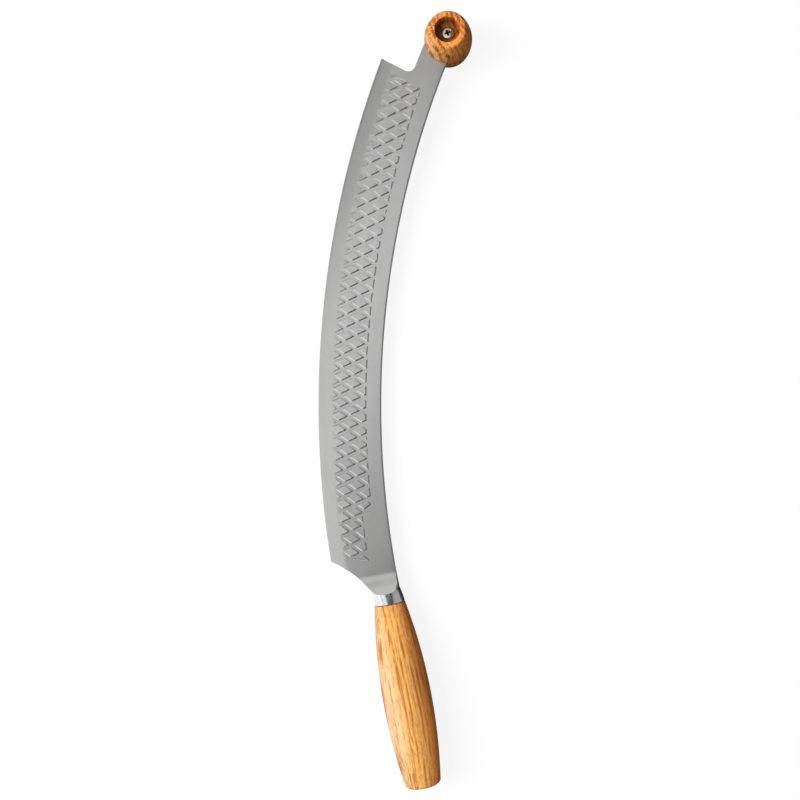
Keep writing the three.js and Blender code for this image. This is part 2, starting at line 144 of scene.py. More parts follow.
class BladeSettings(bpy.types.PropertyGroup):
    """Sizes and finish of the blade's plate."""

    edge_radius: length("Edge radius", 647, "Radius of the cutting edge's arc")
    width: length("Width", 41.8, "From the spine to the cutting edge")
    arm_width: length("Arm width", 18.8, "Width of the arm that runs on past the tip into the knob")
    thickness: length("Thickness", 2.5, "Thickness of the plate")
    edge_thickness: length("Edge thickness", 0.5, "Thickness of the ground face where the sharp edge starts")
    sharp_thickness: length("Sharp thickness", 0.08, "Thickness left at the sharp edge")
    sharp_width: length("Sharp width", 0.7, "Width of the sharpened strip")
    grind_width: length("Grind width", 9, "Width of the ground face along the edge")
    grind_blend: length("Grind blend", 0.9, "How far the start of the ground face is rounded")
    heel_angle: angle("Heel angle", -15.07, "Where the cutting edge starts")
    tip_angle: angle("Tip angle", 14.93, "Where the cutting edge ends")
    notch_angle: angle("Notch angle", 14.63, "Where the tip's end meets the arm")
    notch_round: length("Notch round", 6.5, "Rounding between the tip's end and the arm")
    choil_lean: angle("Choil lean", 31, "Slope of the cut behind the heel where it leaves the edge")
    choil_heel_pull: length("Choil heel pull", 14, "How long that cut keeps its slope at the heel")
    choil_neck_pull: length("Choil neck pull", 8, "How long that cut runs along the neck")
    choil_neck_side: length("Choil neck side", 9, "How far that cut stays from the grip's axis at the neck")
    mount_place: length("Mount place", 4.6, "The flat's mount from the spine")
    rounding: length("Edge rounding", 0.3, "Rounding along the blunt edges")
    spine_round: length("Spine rounding", 1.0, "Rounding along the spine")
    spine_wall: factor("Spine wall", 0.35, "Share of the thickness that stays straight at the spine")
    colour: colour("Steel", (0.575, 0.575, 0.571), "Colour of the satin steel")
    roughness: factor("Roughness", 0.33, "Roughness of the satin steel")

    @property
    def spine_radius(self):
        return self.edge_radius - self.width

    @property
    def arm_radius(self):
        return self.spine_radius + self.arm_width

    @property
    def tip_lean(self):
        return (self.tip_angle - self.notch_angle) / (self.edge_radius - self.arm_radius)

    @property
    def grind_radius(self):
        return self.edge_radius - self.grind_width

    @property
    def grind_slope(self):
        return (self.thickness - self.edge_thickness) / 2 / self.grind_width


class PatternSettings(bpy.types.PropertyGroup):
    """Sizes of the raised diamonds on both faces."""

    pitch_along: length("Pitch along", 8.836, "Length of one cell along the blade")
    pitch_across: length("Pitch across", 15.45, "Length of one cell across the blade")
    fill: factor("Fill", 0.805, "Share of its cell that a diamond's foot takes")
    height: length("Height", 0.48, "How far a diamond stands out of the plate")
    wall: length("Wall", 0.88, "Width of a diamond's sloping wall, seen from above")
    corner: length("Corner", 0.7, "Rounding of a diamond's corners")
    root: length("Root", 0.3, "How far a diamond is sunk into the plate")
    drift: factor("Drift", 0.044, "How much the cells grow towards the heel, for each metre")
    turn: angle("Turn", 1.05, "Turn of the pattern against the blade's chord")
    start_along: length("Start along", -18.29, "Place of one diamond along the chord")
    start_across: length("Start across", -16.85, "Place of one diamond across the chord")
    spine_margin: length("Spine margin", 9.7, "Smooth band between the spine and the diamonds")
    heel_place: length("Heel place", -165, "Where the diamonds start, along the chord")
    tip_angle: angle("Tip angle", 14.4, "Where the diamonds end")
    bare_margin: length("Bare margin", 16.45, "Smooth band beside the heel")
    bare_angle: angle("Bare angle", -12.2, "Where the wider smooth band ends")


class GripSettings(bpy.types.PropertyGroup):
    """Sizes and finish of the neck, the collar and the handle."""

    joint_angle: angle("Joint angle", -18.125, "Where the collar meets the wood, along the blade's arc")
    joint_offset: length("Joint offset", 8.5, "The handle's axis from the spine's arc at the joint")
    joint_radius: length("Joint radius", 10.1, "Radius of collar and wood at their joint")
    joint_gap: length("Joint gap", 0.3, "Gap between the collar and the wood")
    lean: angle("Lean", 16.4, "Angle between the handle and the blade's chord")
    ramp_start: length("Ramp start", 20.5, "Where the neck starts to thicken, from the joint")
    ramp_height: length("Ramp height", 8.4, "Half of the neck's thickness at the collar")
    ramp_bend: factor("Ramp bend", 0.47, "Share of the ramp's length over which it turns upwards")
    shoulder: length("Shoulder", 7.2, "Least length of the collar")
    shoulder_bow: length("Shoulder bow", 7.5, "Bow of the line between neck and collar")
    shoulder_span: length("Shoulder span", 13, "Half of the width that the bow is drawn over")
    nose: length("Nose", 9, "Where the collar's nose is measured, from the joint")
    nose_width: length("Nose width", 18.6, "Width of the collar's nose")
    nose_height: length("Nose height", 18.6, "Thickness of the collar's nose")
    nose_shift: length("Nose shift", 0.9, "How far the nose lies towards the edge")
    nose_power: number("Nose squareness", 2.3, "2 is an oval nose, and more is squarer")
    flare: number("Flare", 0.4, "How fast the neck widens away from the collar")
    crease: length("Crease", 1.5, "Rounding where the ramp meets the neck's sides")
    handle_length: length("Handle length", 120.5, "From the joint to the butt's rim")
    belly_at: length("Belly place", 65, "Where the handle is thickest, from the joint")
    belly_radius: length("Belly radius", 16.1, "Radius of the handle at its thickest")
    butt_radius: length("Butt radius", 11.7, "Radius of the handle at its end")
    butt_dome: length("Butt dome", 2.2, "How far the butt is domed")
    butt_round: length("Butt round", 1.4, "Rounding of the butt's rim")
    collar_colour: colour("Collar", (0.85, 0.855, 0.86), "Colour of the polished collar")
    collar_roughness: factor("Collar roughness", 0.2, "Roughness of the polished collar")


class KnobSettings(bpy.types.PropertyGroup):
    """Sizes and finish of the knob and its screw."""

    angle: angle("Angle", 17.43, "Where the knob sits along the blade's arc")
    spine_offset: length("Spine offset", 5.3, "The knob's axis from the spine's arc")
    height: length("Height", 42, "Length of the knob along its axis")
    radius: length("Radius", 15.8, "Radius of the knob at its middle")
    face_radius: length("Face radius", 11.8, "Radius of the knob's front face")
    back_radius: length("Back radius", 12.8, "Radius of the knob's back face")
    rim_round: length("Rim round", 1.0, "Rounding of the two faces' rims")
    bore_radius: length("Counterbore radius", 8.2, "Radius of the hole for the screw's head")
    bore_depth: length("Counterbore depth", 9.9, "Depth of the hole for the screw's head")
    bore_round: length("Counterbore round", 0.45, "Rounding of the hole's mouth")
    pilot_radius: length("Pilot radius", 2.3, "Radius of the hole for the screw's shank")
    slot_gap: length("Slot gap", 0.8, "Gap beside the arm in its slot")
    slot_face_gap: length("Slot face gap", 0.3, "Gap above and below the arm in its slot")
    screw_radius: length("Screw radius", 2, "Radius of the screw's shank")
    head_radius: length("Head radius", 4.0, "Radius of the screw's head")
    head_height: length("Head height", 2.4, "Height of the screw's head")
    head_rim: length("Head rim", 0.9, "Height of the head's straight rim")
    seat_gap: length("Seat gap", 0.3, "Gap under the screw's head")
    bite: length("Bite", 13.6, "How far the screw reaches past the blade")
    point: length("Point", 3, "Length of the screw's point")
    cross_span: length("Cross span", 4.8, "Width of the cross recess")
    cross_width: length("Cross width", 1.4, "Width of the cross recess's arms")
    cross_depth: length("Cross depth", 1.7, "Depth of the cross recess")
    cross_taper: factor("Cross taper", 0.5, "Size of the recess's floor against its mouth")
    cross_turn: angle("Cross turn", 23, "Turn of the cross recess against the blade's chord")
    screw_colour: colour("Screw", (0.78, 0.74, 0.64), "Colour of the plated screw")
    screw_roughness: factor("Screw roughness", 0.24, "Roughness of the plated screw")


class OakSettings(bpy.types.PropertyGroup):
    """Colours and finish of the oak."""

    light: colour("Light", (0.80, 0.415, 0.118), "Late wood, the light part of a growth ring")
    dark: colour("Dark", (0.40, 0.14, 0.027), "Early wood, the dark part of a growth ring")
    pore: colour("Pore", (0.33, 0.105, 0.02), "Open pores")
    knob_light: colour("Knob light", (0.86, 0.365, 0.09), "Late wood of the knob")
    knob_dark: colour("Knob dark", (0.24, 0.058, 0.011), "Early wood of the knob")
    # Sapwood and heartwood, which the logs also place as a painted sheen on the lit side and painted shade on
    # the shaded side
    sap: colour("Sap", (0.80, 0.57, 0.34), "Pale sapwood, far from the pith")
    heart: colour("Heart", (0.92, 0.29, 0.052), "Red heartwood, near the pith")
    # Painted shade, over the darker cut wood, inside the knob's counterbore
    bore_shade: colour("Soil", (0.06, 0.016, 0.004), "Cut wood inside the knob's counterbore")
    roughness: factor("Roughness", 0.5, "Roughness of the oiled wood")
    handle_rings: factor("Handle rings", 0.75, "Strength of the handle's growth rings")
    knob_rings: factor("Knob rings", 0.65, "Strength of the knob's growth rings")
    ring_pitch: length("Ring pitch", 3.1, "Width of a growth ring")


class StageSettings(bpy.types.PropertyGroup):
    """Light and view of the stage."""

    view_width: length("View width", 528.2, "Width of the picture in the blade's plane")
    camera_height: length("Camera height", 780, "The camera's distance from the blade's plane")
    camera_along: length("Camera along", -56.4, "The camera's foot on the blade's plane, along the chord")
    camera_across: length("Camera across", -111.9, "The camera's foot on the blade's plane, across the chord")
    target_along: length("Target along", -57.05, "The picture's middle along the chord")
    target_across: length("Target across", -56.97, "The picture's middle across the chord")
    camera_roll: angle("Camera roll", 5.816, "Turn of the picture against the chord")
    key_power: number("Key power", 27.5, "Power of the large soft lamp beside the cutting edge, in watts")
    fill: factor("Fill", 0.31, "Strength of the even light from all round")
    floor_tone: factor("Floor tone", 0.14, "How much light the pale floor returns")
    dark_tone: factor("Dark tone", 0.06, "How bright the dark cards look")
    gap_tone: factor("Gap tone", 0.42, "How bright the card between the dark ones looks")
    heel_tone: factor("Heel tone", 0.75, "How bright the card over the heel looks")
    bright_tone: number("Bright tone", 1.45, "How bright the card beyond the handle's end looks")
    corner_tone: factor("Corner tone", 0.28, "How bright the card past the tip looks")
    ramp_tone: factor("Ramp tone", 1.0, "How bright the card that shows in the neck's ramp looks")
    side_tone: factor("Side tone", 0.08, "How bright the card beside the handle looks")
    ground_tone: factor("Ground tone", 0.1, "How bright the floor beside the spine looks to the steel")
    shade_tone: factor("Shade tone", 0.02, "How bright the shaded strip of floor along the spine looks")


# Points, frames and outlines


def on_arc(blade, radius, turn):
    """A point of the blade's plane from its distance to the arc centre and its angle along the blade."""
    return Vector((radius * math.sin(turn), radius * math.cos(turn) - blade.edge_radius))


def arc_radius(blade, x, y):
    """A point's distance from the arc centre."""
    return math.hypot(x, y + blade.edge_radius)


def arc_turn(blade, x, y):
    """A point's angle along the blade."""
    return math.atan2(x, y + blade.edge_radius)


def blade_frame(scene):
    """The blade's frame in the row: X along its chord, Y towards the edge, Z out of the front face."""
    blade = scene.knife_blade
    flat = next(mount for mount in frame["record"]["mounts"] if mount["name"] == "blade_flat")
    turn = Vector((0, 0, 1)).rotation_difference(Vector(flat["axis"])).to_matrix().to_4x4()
    point = Vector((0, blade.mount_place - blade.width, blade.thickness / 2))
    return Matrix.Translation(flat["pos_m"]) @ turn @ Matrix.Translation(-point)


def grip_frame(scene):
    """The grip's frame in the blade's: X along the handle away from the blade, Y towards the spine's side."""
    blade, grip = scene.knife_blade, scene.knife_grip
    joint = on_arc(blade, blade.spine_radius + grip.joint_offset, grip.joint_angle)
    return Matrix.Translation(joint.to_3d()) @ Matrix.Rotation(math.pi + grip.lean, 4, "Z")


def knob_frame(scene):
    """The knob's frame in the blade's: Z along its axis, out of the front face."""
    blade, knob = scene.knife_blade, scene.knife_knob
    return Matrix.Translation(on_arc(blade, blade.spine_radius + knob.spine_offset, knob.angle).to_3d())


def lerp(a, b, share):
    """The value at a share of the way from a to b."""
    return a + (b - a) * share


def steps(start, end, count):
    """Evenly spaced values from start to end, both included."""
    return [lerp(start, end, i / count) for i in range(count + 1)]


def soft_min(a, b, blend):
    """The smaller of two values, with the change from one to the other rounded."""
    share = max(0.0, min(1.0, 0.5 + 0.5 * (b - a) / blend))
    return lerp(b, a, share) - blend * share * (1 - share)


def crossing(function, low, high):
    """Where a function that changes sign between low and high is nought."""
    sign = function(low) > 0
    for _ in range(HALVINGS):
        middle = (low + high) / 2
        if (function(middle) > 0) == sign:
            low = middle
        else:
            high = middle
    return (low + high) / 2


def fillet(points, corner, size):
    """A profile with one corner rounded by a curve that starts and ends a given length from it."""
    before, peak, after = (Vector(points[corner + i]) for i in (-1, 0, 1))
    start = peak + (before - peak).normalized() * size
    end = peak + (after - peak).normalized() * size
    curve = [start.lerp(peak, t).lerp(peak.lerp(end, t), t) for t in steps(0, 1, FILLET_STEPS)]
    return [*points[:corner], *(tuple(point) for point in curve), *points[corner + 1:]]


# Meshes and pieces


def lathe(profile, sides):
    """A closed mesh turned about Z from a profile of radius and height that starts and ends on the axis."""
    made = bmesh.new()
    rings = []
    for radius, height in profile[1:-1]:
        turns = (2 * math.pi * i / sides for i in range(sides))
        rings.append([made.verts.new((radius * math.cos(t), radius * math.sin(t), height)) for t in turns])
    for low, high in zip(rings, rings[1:]):
        for i in range(sides):
            j = (i + 1) % sides
            made.faces.new((low[i], low[j], high[j], high[i]))
    first = made.verts.new((0, 0, profile[0][1]))
    last = made.verts.new((0, 0, profile[-1][1]))
    for i in range(sides):
        j = (i + 1) % sides
        made.faces.new((first, rings[0][j], rings[0][i]))
        made.faces.new((last, rings[-1][i], rings[-1][j]))
    return made


def prism(low, high):
    """A closed mesh between two outlines with as many points each."""
    made = bmesh.new()
    rings = [[made.verts.new(point) for point in outline] for outline in (low, high)]
    count = len(low)
    for i in range(count):
        j = (i + 1) % count
        made.faces.new((rings[0][i], rings[0][j], rings[1][j], rings[1][i]))
    made.faces.new(rings[0][::-1])
    made.faces.new(rings[1])
    bmesh.ops.recalc_face_normals(made, faces=made.faces)
    return made


def to_mesh(name, made):
    """A mesh from what has been drawn, which is then let go."""
    mesh = bpy.data.meshes.new(name)
    made.to_mesh(mesh)
    made.free()
    return mesh


def carve(piece, cutter):
    """Cuts one drawn solid out of another and returns what is left as a mesh."""
    bodies = []
    for name, made in (("body", piece), ("cutter", cutter)):
        bodies.append(bpy.data.objects.new(name, to_mesh(name, made)))
        bpy.context.scene.collection.objects.link(bodies[-1])
    cut = bodies[0].modifiers.new("cut", "BOOLEAN")
    cut.operation = "DIFFERENCE"
    cut.solver = "EXACT"
    cut.object = bodies[1]
    graph = bpy.context.evaluated_depsgraph_get()
    mesh = bpy.data.meshes.new_from_object(bodies[0].evaluated_get(graph))
    for body in bodies:
        bpy.data.meshes.remove(body.data)
    return mesh


def finish_piece(node, mesh, place, material):
    """Puts a piece in its place over the solid that it stands for, with its own frame kept for the grain."""
    mesh.name = node + "_mesh"
    grain = mesh.attributes.new("grain", "FLOAT_VECTOR", "POINT")
    grain.data.foreach_set("vector", [value / MM for vertex in mesh.vertices for value in vertex.co])
    mesh.transform(place)
    mesh.materials.clear()
    mesh.materials.append(material)
    mesh.shade_smooth()
    mesh.set_sharp_from_angle(angle=SMOOTH_ANGLE)
    piece = bpy.data.objects.new(node + "_piece", mesh)
    bpy.context.scene.collection.objects.link(piece)
    weighted = piece.modifiers.new("even_normals", "WEIGHTED_NORMAL")
    weighted.keep_sharp = True
    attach(piece, BODY)
    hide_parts(node)


# The blade's plate


def plate_height(blade, radius):
    """Half of the plate's thickness at a distance from the arc centre: flat, ground, then sharpened."""
    past = radius - blade.grind_radius
    blend = blade.grind_blend
    if past < -blend:
        drop = 0
    elif past < blend:
        drop = (past + blend) ** 2 / (4 * blend)
    else:
        drop = past
    height = blade.thickness / 2 - drop * blade.grind_slope
    sharp = (radius - blade.edge_radius + blade.sharp_width) / blade.sharp_width
    return lerp(height, blade.sharp_thickness / 2, max(0, sharp))


def bar_section(grip, along):
    """Half width, half thickness, shift and squareness of the bar that neck and collar are shaped from."""
    share = min(-along / grip.nose, 1)
    flare = grip.flare * max(0, -along - grip.nose)
    half_width = lerp(grip.joint_radius, grip.nose_width / 2, share) + flare
    half_height = lerp(grip.joint_radius, grip.nose_height / 2, share)
    shift = -grip.nose_shift * (along / grip.nose) ** 2
    return half_width, half_height, shift, lerp(2, grip.nose_power, share)


def bar_height(grip, along, across):
    """How far that bar reaches out of the blade's plane."""
    half_width, half_height, shift, power = bar_section(grip, along)
    share = min(abs(across - shift) / half_width, 1)
    return half_height * (1 - share ** power) ** (1 / power)


def shoulder_line(grip, across):
    """Where the neck ends and the collar starts, along the grip's axis: a line bowed towards the handle."""
    share = min(abs(across + grip.nose_shift) / grip.shoulder_span, 1)
    return -grip.shoulder - grip.shoulder_bow * (1 - math.sqrt(1 - share ** 2))


def neck_height(blade, grip, along, across):
    """Half of the neck's thickness: the plate, then a hollow ramp that rises to the collar."""
    half = blade.thickness / 2
    share = max(0, (along + grip.ramp_start) / (grip.ramp_start - grip.shoulder))
    bend, straight = grip.ramp_bend, 1 - 2 * grip.ramp_bend
    rise = share / (math.sqrt(bend ** 2 + straight * share) + bend)
    ramp = half + (grip.ramp_height - half) * rise ** 2
    return max(half, soft_min(ramp, bar_height(grip, along, across), grip.crease))


def choil_curve(scene):
    """The cut behind the heel, as a function from 0 at the collar to 1 at the heel's corner."""
    blade, grip = scene.knife_blade, scene.knife_grip
    place = grip_frame(scene)
    heel = on_arc(blade, blade.edge_radius, blade.heel_angle)
    inward = blade.heel_angle + blade.choil_lean
    heel_pull = heel - blade.choil_heel_pull * Vector((math.sin(inward), math.cos(inward)))
    start = -grip.shoulder / 2
    neck = (place @ Vector((start, -blade.choil_neck_side, 0))).to_2d()
    neck_pull = (place @ Vector((start - blade.choil_neck_pull, -blade.choil_neck_side, 0))).to_2d()

    def at(share):
        rest = 1 - share
        ends = neck * rest ** 3 + heel * share ** 3
        return ends + 3 * rest * share * (neck_pull * rest + heel_pull * share)

    return at


def spine_fall(blade, radius):
    """How much of the thickness is left beside the rounded spine."""
    share = 1 - min(max(radius - blade.spine_radius, 0) / blade.spine_round, 1)
    return lerp(blade.spine_wall, 1, math.sqrt(1 - share ** 2))


def band_rows(blade):
    """The rows of the band that runs from the neck to the arm, close together at the rounded spine."""
    start = blade.spine_radius + blade.spine_round
    rounded_rows = [blade.spine_radius + blade.spine_round * share for share in SPINE_STEPS]
    return [*rounded_rows, *steps(start, blade.arm_radius + blade.notch_round, BAND_ROWS)]


def plate_rows(blade):
    """The sheet's rows as distances from the arc centre: arm, flat, ground face and sharp edge."""
    band = band_rows(blade)
    blend = blade.grind_blend
    flat = steps(band[-1], blade.grind_radius - blend, FLAT_ROWS)[1:]
    bend = steps(flat[-1], blade.grind_radius + blend, BEND_ROWS)[1:]
    ground = steps(bend[-1], blade.edge_radius - blade.sharp_width, GRIND_ROWS)[1:]
    return [*band, *flat, *bend, *ground, blade.edge_radius]


def neck_columns(scene, rows):
    """Columns of the sheet from the collar to the heel, spread between their four outlines."""
    blade, grip = scene.knife_blade, scene.knife_grip
    to_grip = grip_frame(scene).inverted()
    choil = choil_curve(scene)

    def past_shoulder(point):
        local = to_grip @ point.to_3d()
        return local.x - shoulder_line(grip, local.y)

    def spine(turn):
        return on_arc(blade, blade.spine_radius, turn)

    spine_end = crossing(lambda turn: past_shoulder(spine(turn)), grip.joint_angle, blade.heel_angle)
    choil_end = crossing(lambda share: past_shoulder(choil(share)), 0, 1)
    corner_a, corner_b = to_grip @ spine(spine_end).to_3d(), to_grip @ choil(choil_end).to_3d()
    shares = [(radius - rows[0]) / (rows[-1] - rows[0]) for radius in rows]

    def shoulder(share):
        across = lerp(corner_a.y, corner_b.y, share)
        return (grip_frame(scene) @ Vector((shoulder_line(grip, across), across, 0))).to_2d()

    columns = []
    for a in steps(0, 1, NECK_COLUMNS)[:-1]:
        low, high = spine(lerp(spine_end, blade.heel_angle, a)), choil(lerp(choil_end, 1, a))
        column = []
        for b, radius in zip(shares, rows):
            ruled = low.lerp(high, b)
            ends = shoulder(b).lerp(on_arc(blade, radius, blade.heel_angle), a)
            start = shoulder(0).lerp(spine(blade.heel_angle), a)
            finish = shoulder(1).lerp(choil(1), a)
            column.append(ruled + ends - start.lerp(finish, b))
        columns.append(column)
    return columns


def tip_turn(blade, radius):
    """Where the blade ends at one distance from the arc centre: its end leans back towards the arm."""
    return blade.notch_angle + blade.tip_lean * max(0, radius - blade.arm_radius)


def arm_columns(scene):
    """Columns of the sheet past the tip: the notch, the arm and its round end inside the knob."""
    blade, knob = scene.knife_blade, scene.knife_knob
    ends = []
    for share in steps(0, 1, NOTCH_COLUMNS)[1:]:
        turn = blade.notch_angle + blade.notch_round / blade.arm_radius * share ** 2
        rest = (1 - share) ** 2
        ends.append((turn, rest, blade.spine_radius, blade.arm_radius + blade.notch_round * rest))
    for turn in steps(ends[-1][0], knob.angle, ARM_COLUMNS)[1:]:
        ends.append((turn, 0, blade.spine_radius, blade.arm_radius))
    middle, half = (blade.spine_radius + blade.arm_radius) / 2, blade.arm_width / 2
    for bend in steps(0, ARM_END_TURN, END_COLUMNS)[1:]:
        turn = knob.angle + half * math.sin(bend) / middle
        ends.append((turn, 0, middle - half * math.cos(bend), middle + half * math.cos(bend)))
    band = band_rows(blade)
    shares = [(radius - band[0]) / (band[-1] - band[0]) for radius in band]
    leans = [tip_turn(blade, radius) - blade.notch_angle for radius in band]
    columns = []
    for turn, rest, low, high in ends:
        places = [(lerp(low, high, share), turn + rest * lean) for share, lean in zip(shares, leans)]
        columns.append([on_arc(blade, *place) for place in places])
    return columns


def sheet_columns(scene):
    """Every column of one face of the plate, from the collar to the arm's end."""
    blade = scene.knife_blade
    rows = plate_rows(blade)
    middle = []
    for share in steps(0, 1, BLADE_COLUMNS):
        turns = [lerp(blade.heel_angle, tip_turn(blade, radius), share) for radius in rows]
        middle.append([on_arc(blade, radius, turn) for radius, turn in zip(rows, turns)])
    return [*neck_columns(scene, rows), *middle, *arm_columns(scene)]


def sheet_height(scene, to_grip, point):
    """Half of the blade's thickness at a point of its plane."""
    blade, grip = scene.knife_blade, scene.knife_grip
    radius = arc_radius(blade, *point)
    height = plate_height(blade, radius)
    local = to_grip @ point.to_3d()
    if -grip.ramp_start < local.x < 0:
        height = max(height, neck_height(blade, grip, local.x, local.y))
    return height * spine_fall(blade, radius)


def plate(scene):
    """The plate, closed round its outline, with its blunt edges rounded."""
    blade = scene.knife_blade
    to_grip = grip_frame(scene).inverted()
    made = bmesh.new()
    sheets = {1: [], -1: []}
    for column in sheet_columns(scene):
        heights = [sheet_height(scene, to_grip, point) for point in column]
        for side in (1, -1):
            line = [made.verts.new((p.x, p.y, side * z)) for p, z in zip(column, heights)]
            sheets[side].append(line)
    for lines in sheets.values():
        for left, right in zip(lines, lines[1:]):
            for j in range(min(len(left), len(right)) - 1):
                made.faces.new((left[j], right[j], right[j + 1], left[j + 1]))
    twin = {a: b for front, back in zip(sheets[1], sheets[-1]) for a, b in zip(front, back)}
    rim = [edge for edge in made.edges if edge.is_boundary and edge.verts[0] in twin]
    for edge in rim:
        a, b = edge.verts
        made.faces.new((a, b, twin[b], twin[a]))
    bmesh.ops.recalc_face_normals(made, faces=made.faces)
    # The line against the collar stays sharp, and the spine has its own rounding
    plain = (set(sheets[1][0]), {line[0] for line in sheets[1]})
    blunt = [e for e in rim if min(v.co.z for v in e.verts) > 2 * blade.rounding]
    blunt = [e for e in blunt if not any(line.issuperset(e.verts) for line in plain)]
    opposite = [made.edges.get([twin[v] for v in e.verts]) for e in blunt]
    sizes = {"offset": blade.rounding, "segments": ROUNDING_ROWS, "profile": 0.5}
    bmesh.ops.bevel(made, geom=blunt + opposite, affect="EDGES", **sizes)
    return made


# The raised diamonds


def clipped(outline, distance):
    """The part of a convex outline where a distance is not negative."""
    kept = []
    for here, there in zip(outline, outline[1:] + outline[:1]):
        a, b = distance(here), distance(there)
        if a >= 0:
            kept.append(here)
        if (a >= 0) != (b >= 0):
            kept.append(here.lerp(there, a / (a - b)))
    return kept


def tidy_outline(outline, least):
    """An outline without the points that lie too near the one before."""
    return [p for i, p in enumerate(outline) if (p - outline[i - 1]).length > least]


def inset(outline, size):
    """A convex outline, drawn anticlockwise, with every side moved inwards."""
    moved = []
    count = len(outline)
    for i, peak in enumerate(outline):
        before = (peak - outline[i - 1]).normalized()
        after = (outline[(i + 1) % count] - peak).normalized()
        inward = (Vector((-before.y, before.x)) + Vector((-after.y, after.x))) / (1 + before.dot(after))
        moved.append(peak + inward * size)
    return moved


def rounded(outline, size):
    """An outline with each corner rounded by three points."""
    points = []
    count = len(outline)
    for i, peak in enumerate(outline):
        before, after = outline[i - 1] - peak, outline[(i + 1) % count] - peak
        start = peak + before.normalized() * min(size, before.length / 3)
        end = peak + after.normalized() * min(size, after.length / 3)
        points += [start, start.lerp(peak, 0.5).lerp(peak.lerp(end, 0.5), 0.5), end]
    return points


def diamond_outlines(scene):
    """The foot of every diamond, cut off at the smooth bands and at the pattern's two ends."""
    blade, pattern = scene.knife_blade, scene.knife_pattern
    turn = Matrix.Rotation(pattern.turn, 2)
    along = turn @ Vector((pattern.pitch_along / 2, 0))
    across = turn @ Vector((0, pattern.pitch_across / 2))
    start = Vector((pattern.start_along, pattern.start_across))

    def inside(point):
        bend = arc_turn(blade, *point)
        margin = pattern.bare_margin if bend < pattern.bare_angle else pattern.spine_margin
        return arc_radius(blade, *point) - blade.spine_radius - margin

    def past_heel(point):
        return point.x - pattern.heel_place

    def before_tip(point):
        lean = blade.tip_lean * (arc_radius(blade, *point) - blade.edge_radius)
        return (pattern.tip_angle + lean - arc_turn(blade, *point)) * blade.edge_radius

    def before_grind(point):
        return blade.grind_radius - arc_radius(blade, *point)

    outlines = []
    for i in CELLS_ALONG:
        for j in CELLS_ACROSS:
            place = i * (1 - pattern.drift * i * along.length)
            middle = start + place * along + j * across
            foot = [middle + pattern.fill * corner for corner in (along, across, -along, -across)]
            for distance in (inside, past_heel, before_tip, before_grind):
                foot = clipped(foot, distance)
            foot = tidy_outline(foot, pattern.wall / 2)
            if (i + j) % 2 == 0 and len(foot) > 2 and outline_area(foot) > pattern.wall ** 2 * 4:
                outlines.append(foot)
    return outlines


def outline_area(outline):
    """The area of an outline."""
    return sum(a.cross(b) for a, b in zip(outline, outline[1:] + outline[:1])) / 2


def add_diamond(made, scene, outline, side):
    """Adds one diamond to a face of the plate: sunk root, rounded wall and a flat top cut by the grind."""
    blade, pattern = scene.knife_blade, scene.knife_pattern
    perimeter = sum((a - b).length for a, b in zip(outline, outline[1:] + outline[:1]))
    size = min(1, outline_area(outline) / perimeter / pattern.wall)
    half = blade.thickness / 2
    root = (0, -pattern.root / pattern.height)
    rings = []
    for run, rise in (root, *WALL_PROFILE):
        ring = rounded(inset(outline, run * size * pattern.wall), pattern.corner)
        points = []
        for p in ring:
            ground = half + (blade.grind_radius - arc_radius(blade, *p)) * blade.grind_slope
            height = min(half + rise * size * pattern.height, ground - GRIND_CLEARANCE)
            points.append(made.verts.new((p.x, p.y, side * height)))
        rings.append(points)
    count = len(rings[0])
    for low, high in zip(rings, rings[1:]):
        for i in range(count):
            j = (i + 1) % count
            made.faces.new((low[i], low[j], high[j], high[i])[::side])
    made.faces.new(rings[0][::-side])
    made.faces.new(rings[-1][::side])


# Nodes of the finishes


class Tree:
    """A node tree with short calls to add nodes and to set or link their inputs."""

    def __init__(self, owner):
        owner.use_nodes = True
        self.nodes = owner.node_tree.nodes
        self.links = owner.node_tree.links
        self.nodes.clear()

    def add(self, kind, inputs, **settings):
        """Adds a node, sets its options, and sets or links its inputs."""
        node = self.nodes.new("ShaderNode" + kind)
        for name, value in settings.items():
            setattr(node, name, value)
        for name, value in inputs.items():
            if isinstance(value, bpy.types.NodeSocket):
                self.links.new(value, node.inputs[name])
            else:
                node.inputs[name].default_value = value
        return node

    def math(self, operation, *values):
        """The result of a sum on numbers."""
        return self.add("Math", dict(enumerate(values)), operation=operation).outputs[0]

    def vector(self, operation, *values):
        """The result of a sum on vectors."""
        return self.add("VectorMath", dict(enumerate(values)), operation=operation).outputs[0]

    def spread(self, value, low, high, to_low=0.0, to_high=1.0):
        """A value's range stretched smoothly onto another."""
        inputs = {"Value": value, 1: low, 2: high, 3: to_low, 4: to_high}
        return self.add("MapRange", inputs, interpolation_type="SMOOTHSTEP").outputs[0]

    def mix(self, share, a, b):
        """A mix of two colours."""
        return self.add("Mix", {0: share, 6: a, 7: b}, data_type="RGBA").outputs[2]

    def distance(self, place):
        """How far a place is from the origin."""
        return self.add("VectorMath", {0: place}, operation="LENGTH").outputs["Value"]

    def noise(self, place, scale, detail=2.0, roughness=0.5):
        """Noise in millimetres of a place, stretched by one scale for each axis."""
        stretched = self.vector("MULTIPLY", place, scale)
        inputs = {"Vector": stretched, "Scale": 1.0, "Detail": detail, "Roughness": roughness}
        return self.add("TexNoise", inputs).outputs[0]

    def grain(self):
        """A place in the piece's own frame, in millimetres."""
        return self.add("Attribute", {}, attribute_name="grain", attribute_type="GEOMETRY").outputs["Vector"]

    def bump(self, height, strength, distance):
        """A surface direction from a height."""
        inputs = {"Height": height, "Strength": strength, "Distance": distance}
        return self.add("Bump", inputs).outputs[0]

    def surface(self, inputs):
        """The finish itself."""
        shader = self.add("BsdfPrincipled", inputs)
        self.add("OutputMaterial", {"Surface": shader.outputs[0]})


def opaque(value):
    """A colour with full cover, as a colour input takes it."""
    return (*value, 1.0)


